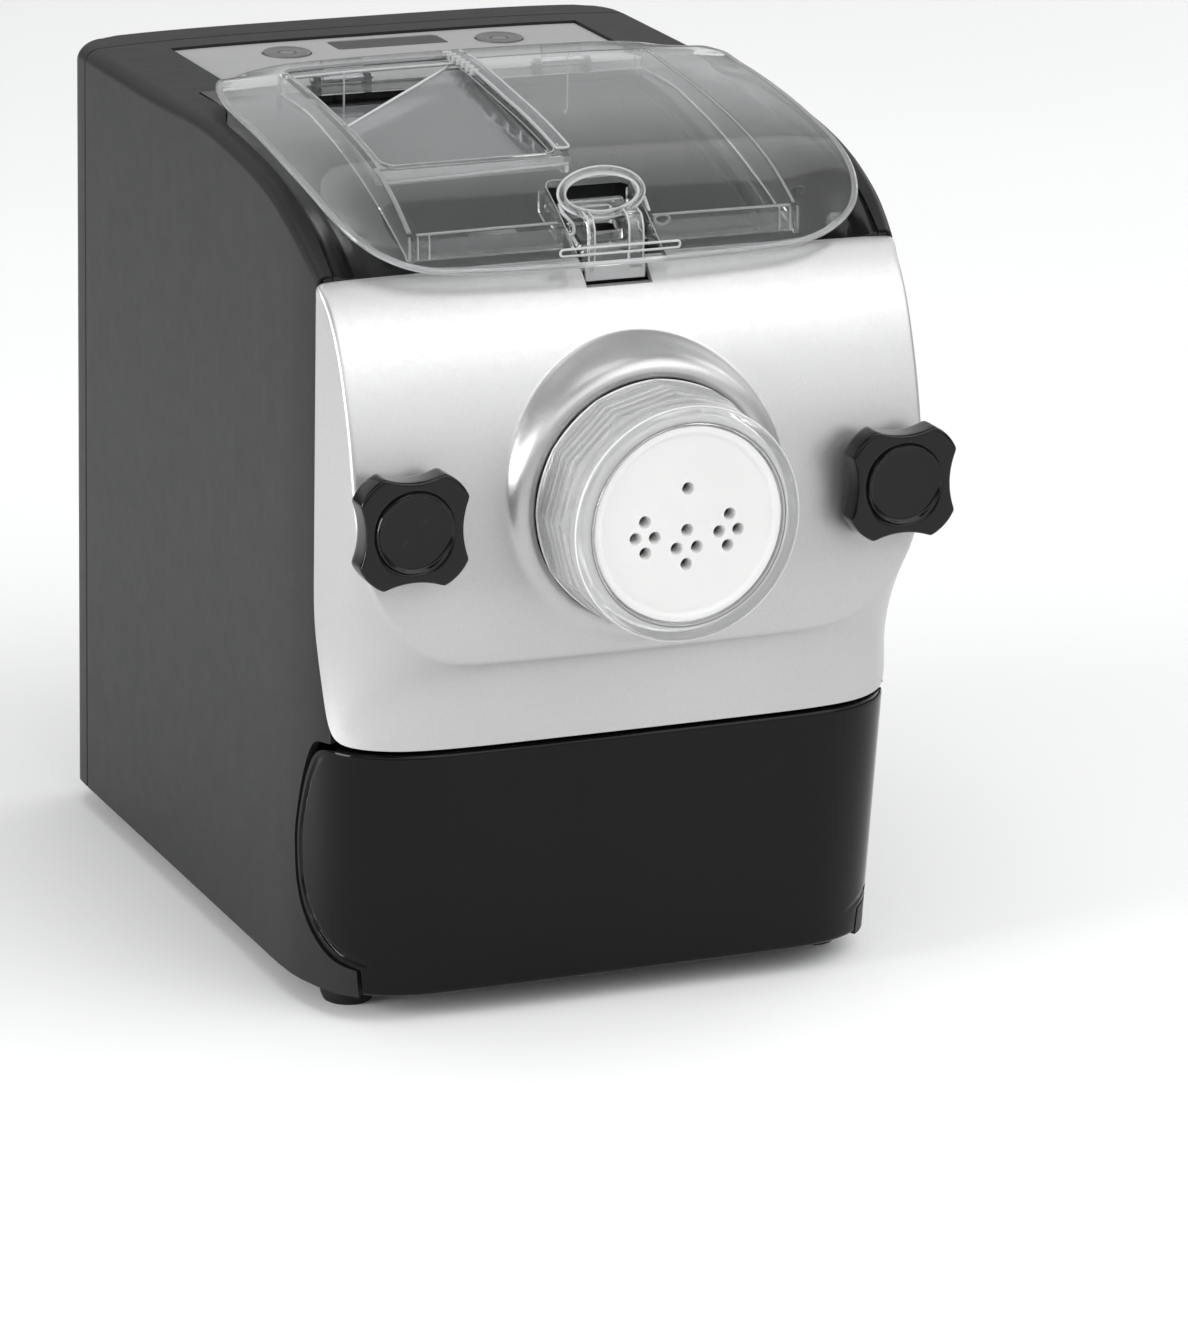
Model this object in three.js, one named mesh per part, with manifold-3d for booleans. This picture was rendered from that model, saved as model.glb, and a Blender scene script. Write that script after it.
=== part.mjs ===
// Electric pasta maker: a kitchen appliance that kneads dough in a clear bowl and
// presses it through a die at the front. Millimetres, +Z up, +X to the right of
// someone who faces the nozzle, -Y towards that person. The origin lies on the
// supporting surface, under the middle of the whole object.
import * as THREE from "three";
import { mergeVertices } from "three/addons/utils/BufferGeometryUtils.js";
import Module from "manifold-3d";

// ---------------------------------------------------------------- dimensions
const HALF_W = 105; // half the width of the casing
const FOOT_H = 9; // height of the rubber feet under the casing
const FRONT_SHIFT = 133.3; // depth of the rear parting line behind the origin
const WALL = 3; // moulded casing walls
const GAP = 0.4; // gap between neighbouring mouldings
const AXIS_Z = 171; // height of the screw and nozzle axis
const BOWL_R = 54; // inside radius of the bowl's round bottom
const BARREL_R = 27; // inside radius of the extrusion barrel
const RING_R = 41.6; // grip radius of the nozzle ring
const KNOB_X = 87.2; // sideways distance of the knobs from the nozzle axis
const KNOB_R = 22; // radius over the knob's lobes
const HINGE_V = 84; // depth of the lid's hinge axis, measured from the parting line
const HINGE_Z = 277.2; // height of the lid's hinge axis
const HINGE_X = 41; // sideways distance of the two hinge knuckles
const LID_T = 2.4; // wall of the clear lid
const GEAR_M = 2; // module of both gear stages
// Teeth of the motor pinion, the wheel it drives, the small gear beside that wheel and the output gear.
const TEETH = { motor: 9, wheel: 36, small: 11, output: 32 };
const C1 = (GEAR_M * (TEETH.motor + TEETH.wheel)) / 2 + 0.5; // first centre distance
const C2 = (GEAR_M * (TEETH.small + TEETH.output)) / 2 + 0.5; // second centre distance
const MID_Z = AXIS_Z - C2; // intermediate gear's height
const MOTOR_Z = MID_Z - C1; // motor's height

// Everything below is laid out by (x, v, z): v runs forward from the rear
// parting line and z up from the casing's underside.
const P = (x, v, z) => [x, FRONT_SHIFT - v, z + FOOT_H];

// ---------------------------------------------------------------- solid maker
const wasm = await Module();
wasm.setup();

function solid(geometry) {
  const g = geometry.clone();
  for (const key of Object.keys(g.attributes))
    if (key !== "position") g.deleteAttribute(key);
  const m = mergeVertices(g, 1e-4);
  const at = m.index.array;
  const tri = [];
  for (let i = 0; i < at.length; i += 3)
    if (at[i] !== at[i + 1] && at[i + 1] !== at[i + 2] && at[i] !== at[i + 2])
      tri.push(at[i], at[i + 1], at[i + 2]);
  const make = (t) =>
    new wasm.Manifold(
      new wasm.Mesh({
        numProp: 3,
        vertProperties: new Float32Array(m.attributes.position.array),
        triVerts: new Uint32Array(t),
      }),
    );
  const out = make(tri);
  if (out.volume() >= 0) return out;
  for (let i = 0; i < tri.length; i += 3)
    [tri[i + 1], tri[i + 2]] = [tri[i + 2], tri[i + 1]];
  return make(tri);
}

const mapped = (geometry, fn) => {
  const p = geometry.attributes.position;
  for (let i = 0; i < p.count; i++)
    p.setXYZ(i, ...fn(p.getX(i), p.getY(i), p.getZ(i)));
  return solid(geometry);
};

// A flat outline pushed straight through: axis x takes (v, z) points, axis v
// takes (x, z) points and axis z takes (x, v) points.
function prism(points, axis, from, to) {
  const shape = new THREE.Shape(points.map((q) => new THREE.Vector2(...q)));
  const g = new THREE.ExtrudeGeometry(shape, {
    depth: to - from,
    bevelEnabled: false,
  });
  const place = {
    x: (a, b, t) => P(from + t, a, b),
    v: (a, b, t) => P(a, from + t, b),
    z: (a, b, t) => P(a, b, from + t),
  }[axis];
  return mapped(g, place);
}

const box = (x0, x1, v0, v1, z0, z1) =>
  prism([[x0, v0], [x1, v0], [x1, v1], [x0, v1]], "z", z0, z1);

function circle(cx, cy, r, n = 24, from = 0) {
  const out = [];
  for (let i = 0; i < n; i++) {
    const a = from + (2 * Math.PI * i) / n;
    out.push([cx + r * Math.cos(a), cy + r * Math.sin(a)]);
  }
  return out;
}

function roundRect(x0, x1, y0, y1, r, n = 4) {
  const out = [];
  [
    [x1 - r, y1 - r, 0],
    [x0 + r, y1 - r, 90],
    [x0 + r, y0 + r, 180],
    [x1 - r, y0 + r, 270],
  ].forEach(([cx, cy, a0]) => {
    for (let i = 0; i <= n; i++) {
      const a = ((a0 + (90 * i) / n) * Math.PI) / 180;
      out.push([cx + r * Math.cos(a), cy + r * Math.sin(a)]);
    }
  });
  return out;
}

const bar = (cx, cz, r, v0, v1, n = 20) =>
  prism(circle(cx, cz, r, n), "v", v0, v1);
const post = (cx, cv, r, z0, z1, n = 20) =>
  prism(circle(cx, cv, r, n), "z", z0, z1);
const pin = (cv, cz, r, x0, x1, n = 14) =>
  prism(circle(cv, cz, r, n), "x", x0, x1);

// A turned shape: the closed profile holds (radius, distance along the axis).
function turned(profile, cx, cz, n = 32) {
  const g = new THREE.LatheGeometry(
    profile.concat([profile[0]]).map((q) => new THREE.Vector2(...q)),
    n,
  );
  return mapped(g, (X, Y, Z) => P(cx + X, Y, cz + Z));
}
function turnedUp(profile, cx, cv, n = 24) {
  const g = new THREE.LatheGeometry(
    profile.concat([profile[0]]).map((q) => new THREE.Vector2(...q)),
    n,
  );
  return mapped(g, (X, Y, Z) => P(cx + X, cv + Z, Y));
}

// A body through a stack of closed rings of equal point count, capped flat.
function loft(rings) {
  const n = rings[0].length;
  const pos = [];
  rings.forEach((ring) => ring.forEach((q) => pos.push(...P(...q))));
  const index = [];
  for (let k = 0; k + 1 < rings.length; k++)
    for (let i = 0; i < n; i++) {
      const a = k * n + i,
        b = k * n + ((i + 1) % n);
      index.push(a, b, b + n, a, b + n, a + n);
    }
  [
    [0, rings[0], true],
    [rings.length - 1, rings[rings.length - 1], false],
  ].forEach(([k, ring, flip]) => {
    const c = ring.reduce((s, q) => s.map((v, i) => v + q[i] / n), [0, 0, 0]);
    const at = pos.length / 3;
    pos.push(...P(...c));
    for (let i = 0; i < n; i++) {
      const a = k * n + i,
        b = k * n + ((i + 1) % n);
      if (flip) index.push(at, b, a);
      else index.push(at, a, b);
    }
  });
  const g = new THREE.BufferGeometry();
  g.setAttribute("position", new THREE.Float32BufferAttribute(pos, 3));
  g.setIndex(index);
  return solid(g);
}

// A curved sheet between two grids of points of the same size.
function sheet(front, back) {
  const R = front.length,
    C = front[0].length,
    pos = [],
    index = [];
  [front, back].forEach((s) => s.forEach((r) => r.forEach((q) => pos.push(...P(...q)))));
  const f = (i, j) => i * C + j,
    b = (i, j) => R * C + i * C + j;
  const quad = (p, q, r, s) => index.push(p, q, r, p, r, s);
  for (let i = 0; i + 1 < R; i++)
    for (let j = 0; j + 1 < C; j++) {
      quad(f(i, j), f(i, j + 1), f(i + 1, j + 1), f(i + 1, j));
      quad(b(i, j), b(i + 1, j), b(i + 1, j + 1), b(i, j + 1));
    }
  for (let j = 0; j + 1 < C; j++) {
    quad(f(0, j + 1), f(0, j), b(0, j), b(0, j + 1));
    quad(f(R - 1, j), f(R - 1, j + 1), b(R - 1, j + 1), b(R - 1, j));
  }
  for (let i = 0; i + 1 < R; i++) {
    quad(f(i, 0), f(i + 1, 0), b(i + 1, 0), b(i, 0));
    quad(f(i + 1, C - 1), f(i, C - 1), b(i, C - 1), b(i + 1, C - 1));
  }
  const g = new THREE.BufferGeometry();
  g.setAttribute("position", new THREE.Float32BufferAttribute(pos, 3));
  g.setIndex(index);
  return solid(g);
}

const join = (...parts) => parts.reduce((a, b) => a.add(b));
const cut = (body, ...tools) => tools.reduce((a, b) => a.subtract(b), body);

// Piecewise-linear table lookup.
function table(rows) {
  return (t) => {
    if (t <= rows[0][0]) return rows[0][1];
    for (let i = 1; i < rows.length; i++)
      if (t <= rows[i][0]) {
        const [a, p] = rows[i - 1],
          [b, q] = rows[i];
        return p + ((q - p) * (t - a)) / (b - a);
      }
    return rows[rows.length - 1][1];
  };
}

// ---------------------------------------------------------------- casing form
// Height of the top edge along the depth.
const topZ = table([
  [0, 275], [118, 275], [128, 273.8], [140, 271.8], [150, 269.9], [160, 267.7],
  [170, 265.1], [180, 262.1], [190, 258.6], [200, 254.8], [210, 250.6],
  [218, 247.2], [226, 243.6], [240, 237],
]);

// Plan outline of the lower front, right half, from the side towards the middle:
// at the underside and at the height where the silver panel starts.
const OUT_LOW = [
  [105, 200], [104.3, 208], [103, 215], [101.3, 222], [99, 229], [95.8, 234.6],
  [91, 239], [84, 243.2], [76, 246], [66, 247.3], [40, 247.5], [0, 247.5],
];
const OUT_HIGH = [
  [105, 200], [104.8, 208], [104.3, 216], [103.5, 224], [102.4, 231], [100, 236.4],
  [95.5, 242], [89, 247], [81, 250.4], [70, 252.2], [40, 252.9], [0, 253],
];
const outline = (z) => {
  const t = Math.min(1, Math.max(0, z / 88));
  return OUT_LOW.map((q, i) => [
    q[0] + (OUT_HIGH[i][0] - q[0]) * t,
    q[1] + (OUT_HIGH[i][1] - q[1]) * t,
  ]);
};
// Half width of the casing at a depth and height.
const halfWidth = (v, z) => {
  if (v <= 200) return HALF_W;
  const o = outline(z);
  for (let i = 1; i < o.length; i++)
    if (v <= o[i][1]) {
      const t = (v - o[i - 1][1]) / (o[i][1] - o[i - 1][1]);
      return o[i - 1][0] + (o[i][0] - o[i - 1][0]) * t;
    }
  return 0;
};
// An outline moved inwards by d, right half.
function inset(o, d) {
  return o.map((q, i) => {
    const a = o[Math.max(0, i - 1)],
      b = o[Math.min(o.length - 1, i + 1)];
    let tx = b[0] - a[0],
      tv = b[1] - a[1];
    if (i === 0) [tx, tv] = [0, 1];
    if (i === o.length - 1) [tx, tv] = [-1, 0];
    const l = Math.hypot(tx, tv);
    return [q[0] - (tv / l) * d, q[1] + (tx / l) * d];
  });
}

// ---------------------------------------------------------------- materials
const plain = (color, roughness, metalness = 0, opacity = 1) =>
  new THREE.MeshStandardMaterial({
    color, roughness, metalness, opacity, transparent: opacity < 1,
  });
const MAT = {
  grey: plain(0x55565a, 0.62),
  plate: plain(0x9c9d9f, 0.5),
  gloss: plain(0x0c0c0e, 0.12),
  silver: plain(0xc9cacc, 0.34, 0.55),
  clear: plain(0xe8ecee, 0.06, 0, 0.3),
  white: plain(0xf2f2f0, 0.35),
  rubber: plain(0x161616, 0.8),
  dark: plain(0x1d1e20, 0.6),
  steel: plain(0xa9abad, 0.3, 1),
  brass: plain(0xb59a52, 0.35, 1),
  natural: plain(0xdedbd0, 0.45),
  board: plain(0x1e5a36, 0.55),
  window: plain(0x303236, 0.15),
};

// ---------------------------------------------------------------- scene graph
const root = new THREE.Group();
root.name = "pasta_maker";
function assembly(name, x = 0, v = 0, z = 0, parent = root) {
  const g = new THREE.Group();
  g.name = name;
  const at = new THREE.Vector3(...P(x, v, z));
  g.userData.at = at;
  g.position.copy(parent === root ? at : at.clone().sub(parent.userData.at));
  parent.add(g);
  return g;
}
function piece(group, name, made, material) {
  const m = made.getMesh();
  const n = m.numProp,
    p = new Float32Array(m.numVert * 3),
    o = group.userData.at;
  for (let i = 0; i < m.numVert; i++) {
    p[3 * i] = m.vertProperties[n * i] - o.x;
    p[3 * i + 1] = m.vertProperties[n * i + 1] - o.y;
    p[3 * i + 2] = m.vertProperties[n * i + 2] - o.z;
  }
  const g = new THREE.BufferGeometry();
  g.setAttribute("position", new THREE.BufferAttribute(p, 3));
  g.setIndex(new THREE.BufferAttribute(new Uint32Array(m.triVerts), 1));
  g.computeVertexNormals();
  const mesh = new THREE.Mesh(g, material);
  mesh.name = name;
  group.add(mesh);
}

const casing = assembly("casing");
const gearbox = assembly("gearbox", 0, 66, MID_Z);
const motorShaft = assembly("motor_shaft_group", 0, 62, MOTOR_Z);
const midShaft = assembly("intermediate_group", 0, 66, MID_Z);
const output = assembly("output_group", 0, 66, AXIS_Z);
const lidGroup = assembly("lid_group", 0, HINGE_V, HINGE_Z);
const latchGroup = assembly("latch_group", 0, 208, 252, lidGroup);
const panel = assembly("panel_group", 0, 226, AXIS_Z);
const nozzle = assembly("nozzle_group", 0, 288, AXIS_Z, panel);
const drawer = assembly("drawer_group", 0, 90, 6);

// ---------------------------------------------------------------- housing
// Side view of the front boundary of the grey wrap: it follows the silver
// panel's side seam, the drawer cheek's groove and ends in a low toe.
const SEAM = [
  [225.2, 260], [225.2, 137], [228, 118], [231.4, 105], [234.6, 91], [234.6, 89],
  [226.5, 87.6], [220.5, 80], [214.7, 66], [211.2, 50], [211.6, 38], [214.6, 28],
  [221, 19], [230.5, 12], [238.6, 9.6], [238.6, 0],
];

function casingRing(v, dx, zBottom, r) {
  const top = topZ(v) - dx * (dx > 0 ? 1 : 0);
  const ring = [];
  [0, 88].forEach((z) =>
    ring.push([halfWidth(v, z) - dx, v, Math.max(z, zBottom)]),
  );
  const w = halfWidth(v, 200) - dx;
  for (let i = 0; i <= 3; i++) {
    const a = (i * Math.PI) / 6;
    ring.push([w - r + r * Math.cos(a), v, top - r + r * Math.sin(a)]);
  }
  return ring.concat(ring.slice().reverse().map(([x, y, z]) => [-x, y, z]));
}
{
  const stations = [0, 118, 136, 155, 174, 191, 206, 218, 226, 238.7];
  const outer = loft(stations.map((v) => casingRing(v, 0, 0, 6)));
  const inner = loft(
    [-1, ...stations.slice(1, -1), 240].map((v) => {
      const s = casingRing(Math.max(0, Math.min(v, 238.6)), WALL, -1, 3.5);
      return s.map(([x, , z]) => [x, v, z === 0 ? -1 : z]);
    }),
  );
  const boundary = prism(
    [...SEAM, [238.6, -2], [260, -2], [260, 300], [225.2, 300]],
    "x", -120, 120,
  );
  const mouth = box(-98, 98, 79.6, 250, 230, 290);
  const plateSeat = prism(roundRect(-77.4, 77.4, 11.2, 79.8, 4), "z", 272.8, 280);
  const plateHole = box(-60, 60, 16, 60, 262, 280);
  const outside = cut(outer, inner, boundary);
  // Screw posts for the rear cover, tied to the side walls and the top.
  const posts = [];
  for (const sx of [-1, 1])
    for (const z of [14, 256]) {
      posts.push(bar(sx * 88, z, 4.6, 0.4, 18, 12));
      const rib = box(sx > 0 ? 90 : -103, sx > 0 ? 103 : -90, 0.4, 18, z - 1.5, z + 1.5);
      posts.push(rib);
    }
  const holes = [];
  for (const sx of [-1, 1])
    for (const z of [14, 256]) holes.push(bar(sx * 88, z, 1.7, -1, 16, 10));
  let shell = join(outside, ...posts);
  shell = cut(shell, mouth, plateHole, ...holes);
  // The control plate's seat is a pocket in the top wall, 2 mm deep.
  shell = cut(shell, plateSeat);
  piece(casing, "housing_shell", shell, MAT.grey);
}

// ---------------------------------------------------------------- rear cover
{
  const rows = [
    [-GAP, 105, 275, 6], [-8, 104.8, 275, 6.6], [-14.5, 103, 275, 8],
    [-20, 99.6, 274, 10], [-24.8, 93.6, 270, 12],
  ];
  const ring = (v, w, top, r, z0) => {
    const half = [[w, v, z0]];
    for (let i = 0; i <= 3; i++) {
      const a = (i * Math.PI) / 6;
      half.push([w - r + r * Math.cos(a), v, top - r + r * Math.sin(a)]);
    }
    return half.concat(half.slice().reverse().map(([x, y, z]) => [-x, y, z]));
  };
  const outer = loft([
    ...rows.map((r) => ring(...r, 0)),
    ring(-27.6, 84, 258, 12, 6),
  ]);
  const inner = loft([
    ...rows.map(([v, w, t, r], i) =>
      ring(i === 0 ? 1 : v + (i > 1 ? 1.8 : 0.6), w - 2.6, t - 2.6, Math.max(3.4, r - 2.6), 2.6),
    ),
  ]);
  const slots = [];
  for (const sx of [-1, 1])
    for (let k = 0; k < 5; k++)
      slots.push(
        prism(
          roundRect(sx * 30 - 21, sx * 30 + 21, 58 + k * 11, 62 + k * 11, 1.9, 1),
          "v", -32, -18,
        ),
      );
  const holes = [],
    bosses = [];
  for (const sx of [-1, 1])
    for (const z of [14, 256]) {
      holes.push(bar(sx * 88, z, 1.9, -32, 0, 10));
      holes.push(bar(sx * 88, z, 3.9, -32, -19.6, 14));
      bosses.push(bar(sx * 88, z, 5.6, -24, -1.2, 14));
    }
  const inlet = prism(roundRect(43, 75, 15, 39, 3, 2), "v", -32, -18);
  const seat = prism(roundRect(39.5, 78.5, 11.5, 42.5, 4, 2), "v", -32, -24.7);
  const cover = join(cut(outer, inner), ...bosses);
  piece(casing, "rear_cover", cut(cover, inlet, seat, ...slots, ...holes), MAT.grey);

  // Appliance inlet: a square-flanged socket with three blades in a recess.
  let socket = join(
    prism(roundRect(40, 78, 12, 42, 3.6, 2), "v", -27.8, -25.1),
    prism(roundRect(43.5, 74.5, 15.5, 38.5, 2.6, 2), "v", -27.8, -4),
  );
  socket = cut(socket, prism(roundRect(47, 71, 19, 35, 3, 2), "v", -31, -11));
  for (const [dx, dz] of [[-6, -1.5], [6, -1.5], [0, 3.2]])
    socket = join(socket, box(58 + dx, 60 + dx, -20.4, -8, 25 + dz, 29 + dz));
  piece(casing, "power_inlet", socket, MAT.dark);

  let i = 1;
  for (const z of [256, 14])
    for (const sx of [-1, 1]) {
      piece(
        casing, "cover_screw_" + i++,
        cut(
          turned(
            [[0, -22.8], [2.4, -22.8], [3.3, -21.6], [3.3, -20], [1.5, -20], [1.5, 12], [0, 14]],
            sx * 88, z, 10,
          ),
          box(sx * 88 - 1.9, sx * 88 + 1.9, -24, -21.8, z - 0.45, z + 0.45),
        ),
        MAT.steel,
      );
    }
}

// ---------------------------------------------------------------- base and feet
{
  const o = inset(OUT_LOW, 4.2).filter((q) => q[1] < 239);
  const half = [[101, 3], ...o.map(([x, v]) => [Math.min(x, 101), v])];
  const edge = Math.max(...half.map((q) => q[1]));
  const last = half[half.length - 1];
  const outlinePts = [...half, [last[0] - 4, edge + 0.4]];
  const full = outlinePts.concat(outlinePts.slice().reverse().map(([x, v]) => [-x, v]));
  let base = prism(full, "z", 0.4, 3);
  // Stiffening rim and motor cradle.
  base = join(
    base,
    cut(box(-99, 99, 4.5, 80, 2.5, 9), box(-96.6, 96.6, 7, 77.6, 2, 12)),
    box(-26, -18, 8, 52, 2.5, 47), box(18, 26, 8, 52, 2.5, 47),
  );
  base = cut(base, bar(0, MOTOR_Z, 34.4, -5, 70, 28));
  for (const [sx, z] of [[-1, 14], [1, 14]])
    base = cut(base, box(sx > 0 ? 82 : -104, sx > 0 ? 104 : -82, 0, 20, 4.5, 30));
  const feet = {
    foot_front_left: [-86, 214], foot_front_right: [86, 214],
    foot_rear_left: [-86, 22], foot_rear_right: [86, 22],
  };
  for (const [x, v] of Object.values(feet)) base = cut(base, post(x, v, 3.4, -2, 8, 12));
  piece(casing, "base_plate", base, MAT.dark);
  for (const [name, [x, v]] of Object.entries(feet))
    piece(
      casing, name,
      turnedUp(
        [[0, -9], [7.6, -9], [8.8, -7.6], [9.6, 0], [3, 0], [3, 3.4], [4, 3.4], [2.6, 4.8], [0, 4.8]],
        x, v, 12,
      ),
      MAT.rubber,
    );
}

// ---------------------------------------------------------------- top surround
const deckZ = (v) => topZ(v) - 1.2;
const deckStations = [91, 118, 130, 143, 156, 169, 182, 195, 207, 217, 225];
{
  const up = deckStations.map((v) => [v, deckZ(v)]);
  const low = deckStations.map((v) => [v, deckZ(v) - 3]).reverse();
  let s = prism(
    [[80, 273.8], [90.8, 273.8], ...up, ...low, [80, 270.8]],
    "x", -97.6, 97.6,
  );
  const open = prism(roundRect(-61, 61, 93.6, 219, 7, 3), "z", 220, 290);
  s = cut(s, open, prism([[225.1, 200], [240, 200], [240, 300], [225.1, 300]], "x", -120, 120));
  // Lugs for the lid's two hinge pins.
  for (const sx of [-1, 1])
    for (const x of [HINGE_X - 9.3, HINGE_X + 9.3]) {
      const lug = prism(
        [[82.3, 273], [87.4, 273], [85.9, 277.6], [85.2, 278.4], [84, 278.8], [82.9, 278.4], [82.3, 277.7]],
        "x", sx * x - 1.6, sx * x + 1.6,
      );
      s = join(s, lug);
    }
  for (const sx of [-1, 1])
    s = cut(s, pin(HINGE_V, HINGE_Z, 1.15, sx > 0 ? 27 : -55, sx > 0 ? 55 : -27, 10));
  // Opening for the safety switch's plunger, right of the bowl.
  s = cut(s, post(80, 200, 2.6, 230, 280, 12));
  piece(casing, "bowl_surround", s, MAT.gloss);
  for (const [name, sx] of [["hinge_pin_left", -1], ["hinge_pin_right", 1]])
    piece(lidGroup, name, pin(HINGE_V, HINGE_Z, 0.85, sx * HINGE_X - 11.6, sx * HINGE_X + 11.6, 10), MAT.steel);
  // Safety switch that the closed lid presses.
  piece(
    casing, "lid_switch",
    join(
      box(73, 87, 195, 205, 236, 247.6),
      post(80, 200, 2.2, 247, deckZ(200) + 1.6, 10),
    ),
    MAT.dark,
  );
}

// ---------------------------------------------------------------- control panel
const BTN = { x: 40.3, v: 29.4, r: 8.4 };
{
  let plate = prism(roundRect(-77, 77, 11.6, 79.4, 3.6), "z", 273.2 - 0.2, 274.0);
  plate = join(plate, prism(roundRect(-59.5, 59.5, 16.5, 59.5, 2), "z", 270.6, 273.4));
  plate = cut(
    plate,
    post(-BTN.x, BTN.v, BTN.r + 0.4, 260, 280, 24),
    post(BTN.x, BTN.v, BTN.r + 0.4, 260, 280, 24),
    prism(roundRect(-21, 21, 15.9, 30.4, 1.6, 2), "z", 271.8, 280),
    prism(roundRect(-18, 18, 18.5, 28, 1, 1), "z", 260, 280),
  );
  piece(casing, "control_plate", plate, MAT.plate);
  piece(
    casing, "display_window",
    prism(roundRect(-20.6, 20.6, 16.3, 30, 1.4, 2), "z", 272.2, 273.8),
    MAT.window,
  );
  let board = box(-56, 56, 17.5, 58, 261.6, 263.2);
  board = join(
    board,
    box(-17, 17, 19.4, 27.2, 263, 269.6),
    box(-8, 8, 38, 50, 263, 265.4), box(30, 44, 44, 54, 263, 268),
  );
  for (const [x, v] of [[-53, 56], [53, 56], [-53, 19.5], [53, 19.5]])
    board = join(board, post(x, v, 1.8, 262, 270.2, 8));
  piece(casing, "control_board", board, MAT.board);
  for (const [name, sx] of [["power_switch", -1], ["program_switch", 1]])
    piece(
      casing, name,
      join(
        box(sx * BTN.x - 3, sx * BTN.x + 3, BTN.v - 3, BTN.v + 3, 263.5, 266.6),
        post(sx * BTN.x, BTN.v, 1.6, 266, 267.3, 10),
      ),
      MAT.dark,
    );
  for (const [name, sx] of [["power_button", -1], ["program_button", 1]]) {
    const g = assembly(name + "_group", sx * BTN.x, BTN.v, 270);
    piece(
      g, name,
      turnedUp(
        [[0, 268.6], [2.4, 268.6], [2.4, 271], [8.4, 271], [8.4, 274.2], [7.5, 275], [0, 274.4]],
        sx * BTN.x, BTN.v, 24,
      ),
      MAT.plate,
    );
  }
  piece(
    casing, "power_board",
    join(
      box(-98, -96.4, 20, 78, 120, 200),
      box(-96.6, -80, 28, 44, 130, 150), box(-96.6, -86, 50, 70, 128, 146),
      pin(36, 178, 9, -96.6, -74, 14), box(-96.6, -84, 52, 72, 160, 190),
    ),
    MAT.board,
  );
}

// ---------------------------------------------------------------- bowl
function bowlOutline(r, top) {
  // Round bottom about the screw axis, then straight sides that open upwards.
  const out = [];
  const lean = 6.2 / 97; // sideways per height
  const a0 = Math.atan(lean);
  const pts = [];
  for (let i = 0; i <= 10; i++) {
    const a = -Math.PI / 2 + ((Math.PI / 2 - a0) * i) / 10;
    pts.push([r * Math.cos(a), AXIS_Z + r * Math.sin(a)]);
  }
  const last = pts[pts.length - 1];
  pts.push([last[0] + (top - last[1]) * lean, top]);
  pts.slice(1).reverse().forEach(([x, z]) => out.push([-x, z]));
  return out.concat(pts);
}
{
  let bowl = prism(bowlOutline(BOWL_R + 2.4, 280), "v", 92, 221.5);
  const below = (d) => [
    [60, deckZ(91) - d], ...deckStations.map((v) => [v, deckZ(v) - d]), [240, 236 - d],
  ];
  bowl = cut(bowl, prism([...below(3.5), [240, 320], [60, 320]], "x", -130, 130));
  const rim = prism(
    [
      ...below(3.5).filter((q) => q[0] > 90 && q[0] < 224).map(([v, z]) => [Math.min(v, 219.5), z]),
      ...below(5.7).filter((q) => q[0] > 90 && q[0] < 224).map(([v, z]) => [Math.min(v, 219.5), z]).reverse(),
    ],
    "x", -68, 68,
  );
  bowl = join(bowl, rim);
  bowl = cut(bowl, prism(bowlOutline(BOWL_R, 300), "v", 94.6, 230));
  bowl = cut(bowl, bar(0, AXIS_Z, 9.8, 80, 100, 16));
  piece(casing, "mixing_bowl", bowl, MAT.clear);
}

// ---------------------------------------------------------------- inner frame
{
  let frame = prism(
    [[-101, 92], [101, 92], [101, 232], [94, 240], [64, 240], [64, 150], [60, 125], [46, 106], [-46, 106], [-60, 125], [-64, 150], [-64, 240], [-94, 240], [-101, 232]],
    "v", 210, 214,
  );
  frame = cut(frame, prism(bowlOutline(BOWL_R + 3.2, 300), "v", 200, 225));
  for (const sx of [-1, 1]) {
    frame = join(frame, bar(sx * KNOB_X, AXIS_Z, 7, 213, 219, 20));
    frame = join(frame, box(sx > 0 ? 97 : -101.4, sx > 0 ? 101.4 : -97, 196, 212, 120, 220));
    frame = cut(frame, bar(sx * KNOB_X, AXIS_Z, 3.1, 205, 230, 12));
  }
  piece(casing, "front_frame", frame, MAT.dark);
  for (const [name, sx] of [["panel_stud_left", -1], ["panel_stud_right", 1]])
    piece(
      casing, name,
      turned(
        [[0, 207], [5, 207], [5, 209.6], [2.6, 209.6], [2.6, 271], [2, 272.4], [0, 272.4]],
        sx * KNOB_X, AXIS_Z, 12,
      ),
      MAT.steel,
    );
  // Drawer bay: a sheet box open to the front that also carries the bowl.
  let bay = cut(
    box(-95.4, 95.4, 90, 208, 6.6, 86),
    box(-93.6, 93.6, 92, 220, 8.4, 84.2),
  );
  for (const v of [100, 150, 200]) bay = join(bay, box(-14, 14, v, v + 5, 85.5, 114.2));
  piece(casing, "drawer_bay", bay, MAT.dark);
}

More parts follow.
